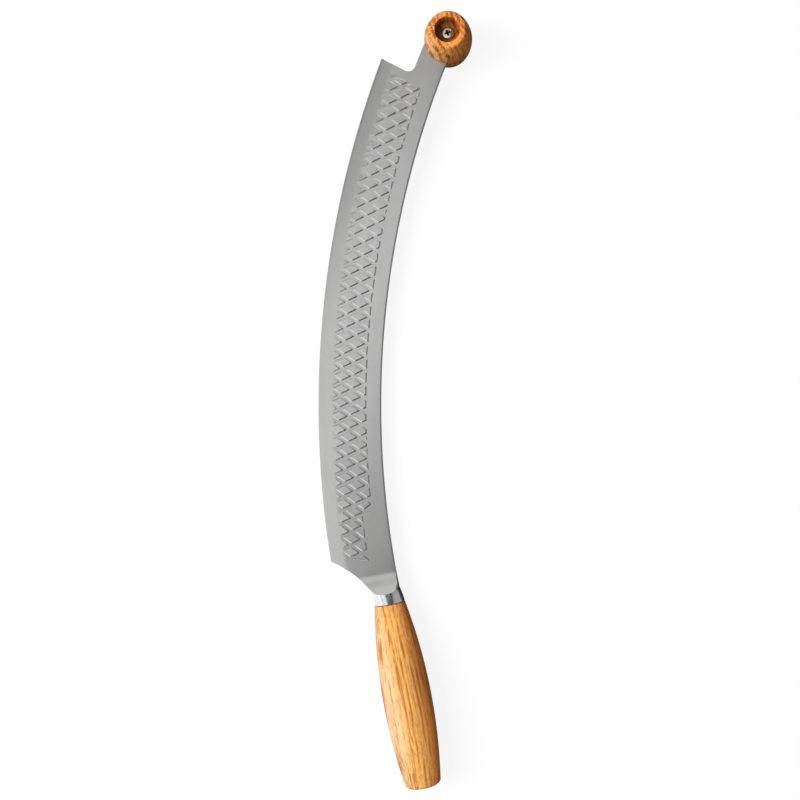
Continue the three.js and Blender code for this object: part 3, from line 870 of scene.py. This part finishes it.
def hollow(tree, place, edge, low, high, share):
    """The share of painted shade in a round hollow about Z: all of it up to one height, none from another."""
    radius = tree.distance(tree.vector("MULTIPLY", place, (1, 1, 0)))
    inside = tree.spread(radius, edge - SHADE_BLEND, edge, share, 0.0)
    height = tree.add("SeparateXYZ", {0: place}).outputs[2]
    return tree.math("MULTIPLY", inside, tree.spread(height, low, high, 1.0, 0.0))


def satin_steel(blade):
    """Satin steel with a fine grain that follows the blade's arc."""
    material = bpy.data.materials.new("satin_steel")
    tree = Tree(material)
    place = tree.grain()
    centre = tree.vector("ADD", place, (0, blade.edge_radius / MM, 0))
    parts = tree.add("SeparateXYZ", {0: centre}).outputs
    radius = tree.distance(tree.vector("MULTIPLY", centre, (1, 1, 0)))
    run = tree.math("MULTIPLY", tree.math("ARCTAN2", parts[0], parts[1]), blade.edge_radius / MM)
    brushed = tree.add("CombineXYZ", {0: run, 1: radius, 2: parts[2]}).outputs[0]
    lines = tree.noise(brushed, (0.12, 9.0, 4.0), detail=3.0, roughness=0.6)
    broad = tree.noise(brushed, (0.03, 0.1, 0.1))
    tone = tree.math("ADD", tree.math("MULTIPLY", lines, 0.6), tree.math("MULTIPLY", broad, 0.4))
    shade = tree.spread(tone, 0.3, 0.7, 0.93, 1.05)
    base = tree.add("VectorMath", {0: tuple(blade.colour), "Scale": shade}, operation="SCALE").outputs[0]
    rough = tree.spread(lines, 0.3, 0.7, blade.roughness - 0.04, blade.roughness + 0.05)
    tree.surface({
        "Base Color": base,
        "Metallic": 1.0,
        "Roughness": rough,
        "Normal": tree.bump(lines, strength=0.06, distance=0.2 * MM),
    })
    return material


def polished_steel(name, tint, roughness, painted_shade=None):
    """Bright steel with faint marks from polishing, dark with painted shade where a share of it is given."""
    material = bpy.data.materials.new(name)
    tree = Tree(material)
    place = tree.grain()
    marks = tree.noise(place, (7.0, 0.5, 0.5), detail=3.0)
    clouds = tree.noise(place, (0.25, 0.25, 0.25), detail=3.0)
    dull = tuple(value * POLISH_DULL for value in tint)
    base = tree.mix(tree.spread(clouds, 0.35, 0.65), opaque(dull), opaque(tint))
    # Painted shade, nearly black, in the hollow that is given
    if painted_shade:
        base = tree.mix(painted_shade(tree, place), base, opaque(RECESS_SHADE))
    tree.surface({
        "Base Color": base,
        "Metallic": 1.0,
        "Roughness": tree.spread(marks, 0.3, 0.7, roughness * 0.85, roughness * 1.2),
        "Normal": tree.bump(marks, strength=0.03, distance=0.1 * MM),
    })
    return material


def oak(name, light, dark, rings, log, settings, painted_shade=None):
    """Oiled oak: rings about a pith, from red heartwood to pale sapwood that also paint shade and sheen, with
    fibres, pores and painted shade.
    """
    material = bpy.data.materials.new(name)
    tree = Tree(material)
    place = tree.grain()
    across = tuple(1 - value for value in log.along)

    def stretch(fine, coarse):
        return tuple(lerp(fine, coarse, value) for value in log.along)

    # Growth rings that stray a little about the pith
    slow_place = tree.vector("MULTIPLY", place, stretch(0.06, 0.012))
    wander = tree.add("TexNoise", {"Vector": slow_place, "Scale": 1.0}).outputs["Color"]
    sway = tree.vector("MULTIPLY", tree.vector("SUBTRACT", wander, (0.5,) * 3), (RING_SWAY,) * 3)
    bent = tree.vector("ADD", place, sway)
    distance = tree.distance(tree.vector("MULTIPLY", tree.vector("SUBTRACT", bent, log.pith), across))
    years = tree.math("DIVIDE", distance, settings.ring_pitch / MM)
    ring = tree.math("FRACT", years)
    year = tree.add("TexWhiteNoise", {"W": tree.math("FLOOR", years)}, noise_dimensions="1D").outputs[0]
    band = tree.math("MULTIPLY", tree.spread(ring, 0.0, 0.25), tree.spread(ring, 0.9, 0.35))
    # Early wood, fainter in some years and in patches
    patch = tree.noise(place, stretch(0.35, 0.03), detail=3.0)
    early = tree.math("MULTIPLY", band, tree.spread(year, 0.0, 1.0, 0.3, 1.0))
    early = tree.math("MULTIPLY", early, tree.spread(patch, 0.35, 0.6, 0.3, 1.0))
    # Fibres, flecks and slow clouds along the log
    fibre = tree.noise(place, stretch(0.9, 0.05), detail=4.0, roughness=0.65)
    fleck = tree.noise(place, stretch(1.0, 0.22), roughness=0.6)
    slow = tree.noise(place, stretch(0.13, 0.015))
    tone = tree.math("ADD", tree.math("MULTIPLY", early, rings), tree.spread(fibre, 0.3, 0.72, -0.15, 0.5))
    tone = tree.math("ADD", tone, tree.spread(slow, 0.35, 0.7, -0.1, 0.25))
    # Late wood from heartwood to sapwood, darkened by the early wood and the flecks; the heartwood's side is
    # painted shade and the sapwood's side a painted sheen
    pale = tree.mix(tree.spread(distance, *log.sap, 0.0, LOG_TINT), opaque(light), opaque(settings.sap))
    pale = tree.mix(tree.spread(distance, *log.heart, 0.0, LOG_TINT), pale, opaque(settings.heart))
    wood = tree.mix(tree.spread(tone, 0.0, 1.0), pale, opaque(dark))
    wood = tree.mix(tree.spread(fleck, 0.5, 0.75, 0.0, 0.5), wood, opaque(dark))
    wood = tree.mix(tree.spread(fleck, 0.45, 0.25, 0.0, 0.2), wood, opaque(settings.sap))
    # Open pores, most of them in the early wood
    holes = tree.noise(place, stretch(2.1, 0.22))
    pores = tree.math("MULTIPLY", tree.spread(holes, 0.54, 0.7), tree.spread(early, 0.0, 0.8, 0.35, 0.8))
    base = tree.mix(pores, wood, opaque(settings.pore))
    # Painted shade in the hollow that is given, over the darker cut wood
    if painted_shade:
        base = tree.mix(painted_shade(tree, place), base, opaque(settings.bore_shade))
    relief = tree.math("SUBTRACT", tree.math("MULTIPLY", fibre, 0.4), pores)
    tree.surface({
        "Base Color": base,
        "Roughness": tree.spread(tone, 0.0, 1.0, settings.roughness - 0.05, settings.roughness + 0.1),
        "Specular IOR Level": 0.12,
        "Normal": tree.bump(relief, strength=0.3, distance=0.3 * MM),
    })
    return material


# Operators, one for each piece and one for the stage


class KNIFE_OT_blade(bpy.types.Operator):
    """Builds the blade: plate, ground edge, neck, arm and raised diamonds"""

    bl_idname = "knife.blade"
    bl_label = "Blade"

    def execute(self, context):
        scene = context.scene
        made = plate(scene)
        for outline in diamond_outlines(scene):
            for side in (1, -1):
                add_diamond(made, scene, outline, side)
        finish_piece("blade", to_mesh("blade", made), blade_frame(scene), satin_steel(scene.knife_blade))
        return {"FINISHED"}


class KNIFE_OT_collar(bpy.types.Operator):
    """Builds the polished collar between blade and handle"""

    bl_idname = "knife.collar"
    bl_label = "Collar"

    def execute(self, context):
        scene = context.scene
        grip = scene.knife_grip
        finish = polished_steel("polished_steel", grip.collar_colour, grip.collar_roughness)
        place = blade_frame(scene) @ grip_frame(scene)
        finish_piece("bolster", to_mesh("collar", self.collar(grip)), place, finish)
        return {"FINISHED"}

    @staticmethod
    def bar_point(grip, along, turn):
        """A point of the collar's skin."""
        half_width, half_height, shift, power = bar_section(grip, along)
        cosine, sine = math.cos(turn), math.sin(turn)
        across = shift + half_width * math.copysign(abs(cosine) ** (2 / power), cosine)
        return Vector((along, across, half_height * math.copysign(abs(sine) ** (2 / power), sine)))

    def nose_place(self, grip, turn):
        """Where the collar starts at one angle round its axis, on the bowed line against the neck."""
        along = -grip.shoulder
        for _ in range(NOSE_PASSES):
            along = shoulder_line(grip, self.bar_point(grip, along, turn).y)
        return along

    def collar(self, grip):
        """The collar: skin, walls against the neck and the wood, and a small chamfer at the wood."""
        chamfer = grip.joint_gap
        made = bmesh.new()
        turns = [2 * math.pi * (i + 0.5) / ROUND_SIDES for i in range(ROUND_SIDES)]
        noses = [self.nose_place(grip, turn) for turn in turns]
        rings = []
        for share in steps(0, 1, COLLAR_ROWS):
            places = [(lerp(nose, -chamfer, share), turn) for nose, turn in zip(noses, turns)]
            rings.append([made.verts.new(self.bar_point(grip, *place)) for place in places])
        low = grip.joint_radius - chamfer
        rings.append([made.verts.new((0, low * math.cos(turn), low * math.sin(turn))) for turn in turns])
        for near, far in zip(rings, rings[1:]):
            for i in range(ROUND_SIDES):
                j = (i + 1) % ROUND_SIDES
                made.faces.new((near[i], near[j], far[j], far[i]))
        made.faces.new(rings[-1])
        nose = rings[0]
        for i in range(ROUND_SIDES // 2 - 1):
            made.faces.new((nose[i], nose[i + 1], nose[-2 - i], nose[-1 - i]))
        bmesh.ops.recalc_face_normals(made, faces=made.faces)
        return made


class KNIFE_OT_handle(bpy.types.Operator):
    """Builds the turned oak handle"""

    bl_idname = "knife.handle"
    bl_label = "Handle"

    def execute(self, context):
        scene = context.scene
        look = scene.knife_oak
        made = lathe(self.profile(scene.knife_grip), ROUND_SIDES)
        bmesh.ops.rotate(made, verts=made.verts, matrix=Matrix.Rotation(math.pi / 2, 3, "Y"))
        finish = oak("handle_oak", look.light, look.dark, look.handle_rings, HANDLE_LOG, look)
        finish_piece("handle", to_mesh("handle", made), blade_frame(scene) @ grip_frame(scene), finish)
        return {"FINISHED"}

    @staticmethod
    def radius(grip, along):
        """The handle's radius: one bow up to the belly and one down to the butt."""
        near = along < grip.belly_at
        end = grip.joint_radius if near else grip.butt_radius
        span = grip.belly_at if near else grip.handle_length - grip.belly_at
        return grip.belly_radius - (grip.belly_radius - end) * ((along - grip.belly_at) / span) ** 2

    def profile(self, grip):
        """Half of the handle's outline from the collar to the butt."""
        start = grip.joint_gap
        side = [(self.radius(grip, along), along) for along in steps(start, grip.handle_length, HANDLE_ROWS)]
        dome = []
        for share in steps(1, 0, DOME_ROWS)[1:]:
            dome.append((grip.butt_radius * share, grip.handle_length + grip.butt_dome * (1 - share ** 2)))
        points = [(0, start), *side, *dome]
        rim = len(side)
        return fillet(points, rim, grip.butt_round)


class KNIFE_OT_knob(bpy.types.Operator):
    """Builds the turned oak knob with its counterbore and the slot for the arm"""

    bl_idname = "knife.knob"
    bl_label = "Knob"

    def execute(self, context):
        scene = context.scene
        knob, look = scene.knife_knob, scene.knife_oak
        mesh = carve(lathe(self.profile(knob), ROUND_SIDES), self.slot(scene))
        face = knob.height / 2
        seat = face - knob.bore_depth

        # Painted shade in the counterbore, over the darker cut wood
        def counterbore(tree, place):
            edge = knob.bore_radius + knob.bore_round / 2
            return hollow(tree, place, edge / MM, seat / MM, face / MM, BORE_SHADE_SHARE)

        tones = (look.knob_light, look.knob_dark)
        finish = oak("knob_oak", *tones, look.knob_rings, KNOB_LOG, look, counterbore)
        finish_piece("knob", mesh, blade_frame(scene) @ knob_frame(scene), finish)
        return {"FINISHED"}

    @staticmethod
    def profile(knob):
        """Half of the knob's outline from its back face round to the pilot hole's floor."""
        half = knob.height / 2
        side = []
        for z in steps(-half, half, KNOB_ROWS):
            bulge = knob.radius - (knob.back_radius if z < 0 else knob.face_radius)
            side.append((knob.radius - bulge * (z / half) ** 2, z))
        seat = half - knob.bore_depth
        floor = -knob.bite
        bore = [(knob.bore_radius, half), (knob.bore_radius, seat), (knob.pilot_radius, seat)]
        points = [(0, -half), *side, *bore, (knob.pilot_radius, floor), (0, floor)]
        points = fillet(points, len(side) + 1, knob.bore_round)
        points = fillet(points, len(side), knob.rim_round)
        return fillet(points, 1, knob.rim_round)

    @staticmethod
    def slot(scene):
        """What is cut out for the arm: its outline, grown by the gap beside it."""
        blade, knob = scene.knife_blade, scene.knife_knob
        low, high = blade.spine_radius - knob.slot_gap, blade.arm_radius + knob.slot_gap
        middle, half = (low + high) / 2, (high - low) / 2
        outer = [on_arc(blade, high, turn) for turn in steps(blade.tip_angle, knob.angle, ARM_COLUMNS)]
        inner = [on_arc(blade, low, turn) for turn in steps(knob.angle, blade.tip_angle, ARM_COLUMNS)]
        end = []
        for bend in steps(math.pi / 2, -math.pi / 2, 4 * END_COLUMNS)[1:-1]:
            turn = knob.angle + half * math.cos(bend) / middle
            end.append(on_arc(blade, middle + half * math.sin(bend), turn))
        centre = knob_frame(scene).translation.to_2d()
        outline = [point - centre for point in (*outer, *end, *inner)]
        reach = blade.thickness / 2 + knob.slot_face_gap
        return prism(*([(p.x, p.y, z) for p in outline] for z in (-reach, reach)))


class KNIFE_OT_screw(bpy.types.Operator):
    """Builds the pan-head screw with its cross recess"""

    bl_idname = "knife.screw"
    bl_label = "Screw"

    def execute(self, context):
        scene = context.scene
        knob = scene.knife_knob
        seat = knob.height / 2 - knob.bore_depth + knob.seat_gap
        top = seat + knob.head_height
        mesh = carve(lathe(self.profile(knob, seat), SCREW_SIDES), self.cross(knob, top))

        # Painted shade in the cross recess
        def recess(tree, place):
            edge = knob.cross_span / 2 + knob.seat_gap
            low, high = top - knob.cross_depth / 2, top - knob.seat_gap
            return hollow(tree, place, edge / MM, low / MM, high / MM, 1.0)

        finish = polished_steel("plated_screw", knob.screw_colour, knob.screw_roughness, recess)
        finish_piece("knob_screw", mesh, blade_frame(scene) @ knob_frame(scene), finish)
        return {"FINISHED"}

    @staticmethod
    def profile(knob, seat):
        """Half of the screw's outline from its point to the top of its head."""
        end, shank, head = -knob.bite, knob.screw_radius, knob.head_radius
        points = [(0, end), (shank, end + knob.point), (shank, seat), (head, seat)]
        for bend in steps(0, math.pi / 2, DOME_ROWS):
            crown = (knob.head_height - knob.head_rim) * math.sqrt(math.sin(bend))
            points.append((head * math.sqrt(max(0, math.cos(bend))), seat + knob.head_rim + crown))
        return points

    @staticmethod
    def cross(knob, top):
        """What is cut out for the driver: a cross that narrows downwards."""

        def outline(size, height):
            arm, half = knob.cross_span / 2 * size, knob.cross_width / 2 * lerp(1, size, 0.5)
            quarter = [Vector((arm, -half)), Vector((arm, half)), Vector((half, half))]
            turns = [knob.cross_turn + i * math.pi / 2 for i in range(4)]
            return [(*(Matrix.Rotation(turn, 2) @ point), height) for turn in turns for point in quarter]

        return prism(outline(knob.cross_taper, top - knob.cross_depth), outline(1, top + knob.head_rim))


# The stage, in metres, and its camera's sensor in millimetres


def rectangle(span, rise):
    """The corners of a rectangle between two places along and two places across."""
    return [(span[0], rise[0]), (span[1], rise[0]), (span[1], rise[1]), (span[0], rise[1])]


FLOOR_RADIUS = 3.0
FLOOR_FADE = (0.45, 1.4)
# The share of white that lamp and surround give an open floor, which its own glow makes up to white
FLOOR_LIGHT = 0.9
LAMP_SIZE = (1.0, 0.8)
LAMP_PLACE = Vector((-0.1, 0.7, 1.15))
LAMP_TARGET = Vector((-0.05, -0.05, 0))
SENSOR_WIDTH = 36
CAMERA_REACH = 20

# Cards that the steel mirrors, in the blade's frame: far overhead, close over the blade, and beside the spine
FAR_HEIGHT = 1.0
NEAR_HEIGHT = 0.25
SIDE_PLACE = -1.0
SIDE_RISE = (-0.3, 1.0)
TIP_SPAN = (0.35, 2.2)
GAP_SPAN = (-0.25, 0.35)
HANDLE_SPAN = (-2.6, -0.25)
DARK_CARD = [
    (-0.5, -0.35), (-0.8, -0.35), (-0.8, 0.11), (-2.6, 0.11), (-2.6, -1.0), (-0.25, -1.0),
    (-0.25, -0.72), (0.35, -0.72), (0.35, -1.0), (1.2, -1.0), (1.2, -0.4), (0.75, -0.3),
    (0.66, 0.1), (0.57, 0.27), (0.48, 0.05), (0.4, -0.1), (0.2, -0.26), (0.0, -0.36),
    (-0.12, -0.12), (-0.17, 0.03), (-0.23, 0.11), (-0.5, 0.11),
]
CORNER_CARD = [(0.18, 0.27), (1.2, 0.3), (1.2, 1.3), (0.18, 1.3)]
GAP_CARD = rectangle(GAP_SPAN, (-1.0, -0.72))
HEEL_CARD = rectangle((-0.6, -0.22), (0.52, 0.95))
BRIGHT_CARD = rectangle((-2.8, -0.85), (0.45, 1.8))
COLLAR_CARD = [(-0.2, -0.01), (-0.17, -0.01), (-0.12, -0.15), (-0.16, -0.15)]
RAMP_CARD = rectangle((-0.07, 0.14), (-0.02, 0.07))
CARDS_FACE = Vector((0, 0, 0.05))

# Cards on the floor: the ground beside the spine, and the strip of shade along the spine and the handle
GROUND_CARD = rectangle((-1.3, 1.2), (-1.0, -0.1))
GROUND_HEIGHT = 0.3 * MM
SHADE_HEIGHT = 0.6 * MM
SHADE_NEAR = 0.006
SHADE_FAR = -0.05
SHADE_NEAR_TURN = 0.04
SHADE_FAR_TURN = 0.06
SHADE_BUTT = ((0.02, 0.004), (0.04, 0.06))


class KNIFE_OT_stage(bpy.types.Operator):
    """Builds the white floor, the soft light and the camera"""

    bl_idname = "knife.stage"
    bl_label = "Stage"

    def execute(self, context):
        scene = context.scene
        scene.view_settings.view_transform = "Standard"
        self.world(scene)
        self.floor(scene)
        self.lamp(scene)
        self.cards(scene)
        self.camera(scene)
        return {"FINISHED"}

    @staticmethod
    def seen(tree):
        """1 where the eye, or a mirror or glass that it looks at, sees a surface."""
        path = tree.add("LightPath", {}).outputs
        direct = tree.math("MAXIMUM", path["Is Camera Ray"], path["Is Glossy Ray"])
        return tree.math("MAXIMUM", direct, path["Is Transmission Ray"])

    def world(self, scene):
        """A white surround that lights the knife evenly and gently."""
        world = bpy.data.worlds.new("white_surround")
        scene.world = world
        tree = Tree(world)
        strength = tree.math("MAXIMUM", self.seen(tree), scene.knife_stage.fill)
        back = tree.add("Background", {"Color": (1.0, 1.0, 1.0, 1.0), "Strength": strength})
        tree.add("OutputWorld", {"Surface": back.outputs[0]})

    def floor(self, scene):
        """A pale floor that keeps the knife's shadow and fades into the surround."""
        made = bmesh.new()
        bmesh.ops.create_circle(made, cap_ends=True, segments=FLOOR_SIDES, radius=FLOOR_RADIUS)
        floor = bpy.data.objects.new("floor", to_mesh("floor", made))
        scene.collection.objects.link(floor)
        material = bpy.data.materials.new("pale_floor")
        tree = Tree(material)
        tone = scene.knife_stage.floor_tone
        away = tree.distance(tree.add("NewGeometry", {}).outputs["Position"])
        near = tree.spread(away, *FLOOR_FADE, 1.0, 0.0)
        diffuse = tree.add("BsdfDiffuse", {"Color": opaque((tone, tone, tone))})
        glow = tree.math("MULTIPLY", self.seen(tree), 1 - FLOOR_LIGHT * tone)
        lift = tree.add("Emission", {"Strength": glow})
        lit = tree.add("AddShader", {0: diffuse.outputs[0], 1: lift.outputs[0]})
        white = tree.add("Emission", {"Strength": self.seen(tree)})
        mixed = tree.add("MixShader", {0: near, 1: white.outputs[0], 2: lit.outputs[0]})
        tree.add("OutputMaterial", {"Surface": mixed.outputs[0]})
        floor.data.materials.append(material)

    def lamp(self, scene):
        """One large soft lamp beside the cutting edge."""
        lamp = bpy.data.lights.new("key", "AREA")
        lamp.shape = "RECTANGLE"
        lamp.size, lamp.size_y = LAMP_SIZE
        lamp.energy = scene.knife_stage.key_power
        key = bpy.data.objects.new("key", lamp)
        scene.collection.objects.link(key)
        key.matrix_world = blade_frame(scene) @ self.aimed(LAMP_PLACE, LAMP_TARGET, Vector((1, 0, 0)))
        key.visible_glossy = False

    def cards(self, scene):
        """Cards that show in the steel: overhead, close over the blade, beside the spine and on the floor."""
        view = scene.knife_stage
        place = blade_frame(scene)
        level = (
            ("overhead_card", DARK_CARD, FAR_HEIGHT, view.dark_tone),
            ("corner_card", CORNER_CARD, FAR_HEIGHT, view.corner_tone),
            ("gap_card", GAP_CARD, FAR_HEIGHT, view.gap_tone),
            ("heel_card", HEEL_CARD, FAR_HEIGHT, view.heel_tone),
            ("bright_card", BRIGHT_CARD, FAR_HEIGHT, view.bright_tone),
            ("collar_card", COLLAR_CARD, NEAR_HEIGHT, view.dark_tone),
            ("ramp_card", RAMP_CARD, NEAR_HEIGHT, view.ramp_tone),
        )
        for name, outline, height, tone in level:
            self.card(scene, name, [place @ Vector((x, y, height)) for x, y in outline], tone)
        beside = (
            ("tip_side_card", TIP_SPAN, view.dark_tone),
            ("gap_side_card", GAP_SPAN, view.gap_tone),
            ("handle_side_card", HANDLE_SPAN, view.side_tone),
        )
        for name, span, tone in beside:
            corners = rectangle(span, SIDE_RISE)
            self.card(scene, name, [place @ Vector((x, SIDE_PLACE, z)) for x, z in corners], tone)
        ground = [place @ Vector((x, y, 0)) for x, y in GROUND_CARD]
        self.card(scene, "ground_card", self.laid(ground, GROUND_HEIGHT), view.ground_tone)
        shade = [place @ point for point in self.shade(scene)]
        self.card(scene, "shade_card", self.laid(shade, SHADE_HEIGHT), view.shade_tone, stops_light=True)

    @staticmethod
    def shade(scene):
        """The outline of the shade along the spine, the knob and the handle, in the blade's frame."""
        blade, grip, knob = scene.knife_blade, scene.knife_grip, scene.knife_knob
        there = steps(knob.angle + SHADE_NEAR_TURN, grip.joint_angle, SHADE_COLUMNS)
        back = steps(grip.joint_angle, knob.angle + SHADE_FAR_TURN, SHADE_COLUMNS)
        near = [on_arc(blade, blade.spine_radius + SHADE_NEAR, turn).to_3d() for turn in there]
        far = [on_arc(blade, blade.spine_radius + SHADE_FAR, turn).to_3d() for turn in back]
        butt = [grip_frame(scene) @ Vector((grip.handle_length + x, y, 0)) for x, y in SHADE_BUTT]
        return [*near, *butt, *far]

    @staticmethod
    def laid(points, height):
        """Points let down to a height over the floor."""
        return [Vector((point.x, point.y, height)) for point in points]

    @staticmethod
    def card(scene, name, corners, tone, stops_light=False):
        """One flat card that faces the knife, seen by reflections and not by the camera."""
        made = bmesh.new()
        face = made.faces.new([made.verts.new(corner) for corner in corners])
        face.normal_update()
        if face.normal.dot(CARDS_FACE - face.calc_center_median()) < 0:
            face.normal_flip()
        card = bpy.data.objects.new(name, to_mesh(name, made))
        scene.collection.objects.link(card)
        material = bpy.data.materials.new(name)
        tree = Tree(material)
        glow = tree.add("Emission", {"Strength": tone})
        clear = tree.add("BsdfTransparent", {})
        behind = tree.add("NewGeometry", {}).outputs["Backfacing"]
        seen = tree.add("MixShader", {0: behind, 1: glow.outputs[0], 2: clear.outputs[0]})
        tree.add("OutputMaterial", {"Surface": seen.outputs[0]})
        card.data.materials.append(material)
        card.visible_camera = card.visible_shadow = False
        card.visible_diffuse = stops_light

    @staticmethod
    def aimed(place, target, up):
        """A lamp's or camera's frame at a place, turned to a target."""
        ahead = (target - place).normalized()
        right = ahead.cross(up).normalized()
        columns = (right, right.cross(ahead), -ahead, place)
        return Matrix([[column[i] for column in columns] for i in range(3)] + [[0, 0, 0, 1]])

    def camera(self, scene):
        """A camera over the blade's front face, a little beside the spine and towards the handle."""
        view = scene.knife_stage
        lens = bpy.data.cameras.new("camera")
        camera = bpy.data.objects.new("camera", lens)
        scene.collection.objects.link(camera)
        place = Vector((view.camera_along, view.camera_across, view.camera_height))
        target = Vector((view.target_along, view.target_across, 0))
        up = Vector((math.cos(view.camera_roll), math.sin(view.camera_roll), 0))
        camera.matrix_world = blade_frame(scene) @ self.aimed(place, target, up)
        lens.sensor_width = SENSOR_WIDTH
        lens.lens = lens.sensor_width * (target - place).length / view.view_width
        lens.clip_end = CAMERA_REACH
        scene.camera = camera


class KNIFE_PT_panel(bpy.types.Panel):
    """The knife's settings and its pieces"""

    bl_idname = "KNIFE_PT_panel"
    bl_label = "Rocking knife"
    bl_space_type = "VIEW_3D"
    bl_region_type = "UI"
    bl_category = "Knife"

    def draw(self, context):
        for group in SETTINGS:
            box = self.layout.box()
            box.label(text=group.replace("knife_", "").capitalize())
            settings = getattr(context.scene, group)
            for name in settings.bl_rna.properties.keys():
                if name not in ("rna_type", "name"):
                    box.prop(settings, name)
        for operator in OPERATORS:
            self.layout.operator(operator.bl_idname)


SETTINGS = {
    "knife_blade": BladeSettings,
    "knife_pattern": PatternSettings,
    "knife_grip": GripSettings,
    "knife_knob": KnobSettings,
    "knife_oak": OakSettings,
    "knife_stage": StageSettings,
}
OPERATORS = (KNIFE_OT_blade, KNIFE_OT_collar, KNIFE_OT_handle, KNIFE_OT_knob, KNIFE_OT_screw, KNIFE_OT_stage)
CLASSES = (*SETTINGS.values(), *OPERATORS, KNIFE_PT_panel)


def register():
    """Adds the classes and the scene's settings."""
    for cls in CLASSES:
        bpy.utils.register_class(cls)
    for name, group in SETTINGS.items():
        setattr(bpy.types.Scene, name, PointerProperty(type=group))


def unregister():
    """Takes the settings and the classes away again."""
    for name in SETTINGS:
        delattr(bpy.types.Scene, name)
    for cls in reversed(CLASSES):
        bpy.utils.unregister_class(cls)


def main():
    """Builds every piece and the stage."""
    register()
    bpy.ops.knife.blade()
    bpy.ops.knife.collar()
    bpy.ops.knife.handle()
    bpy.ops.knife.knob()
    bpy.ops.knife.screw()
    bpy.ops.knife.stage()


if __name__ == "__main__":
    main()
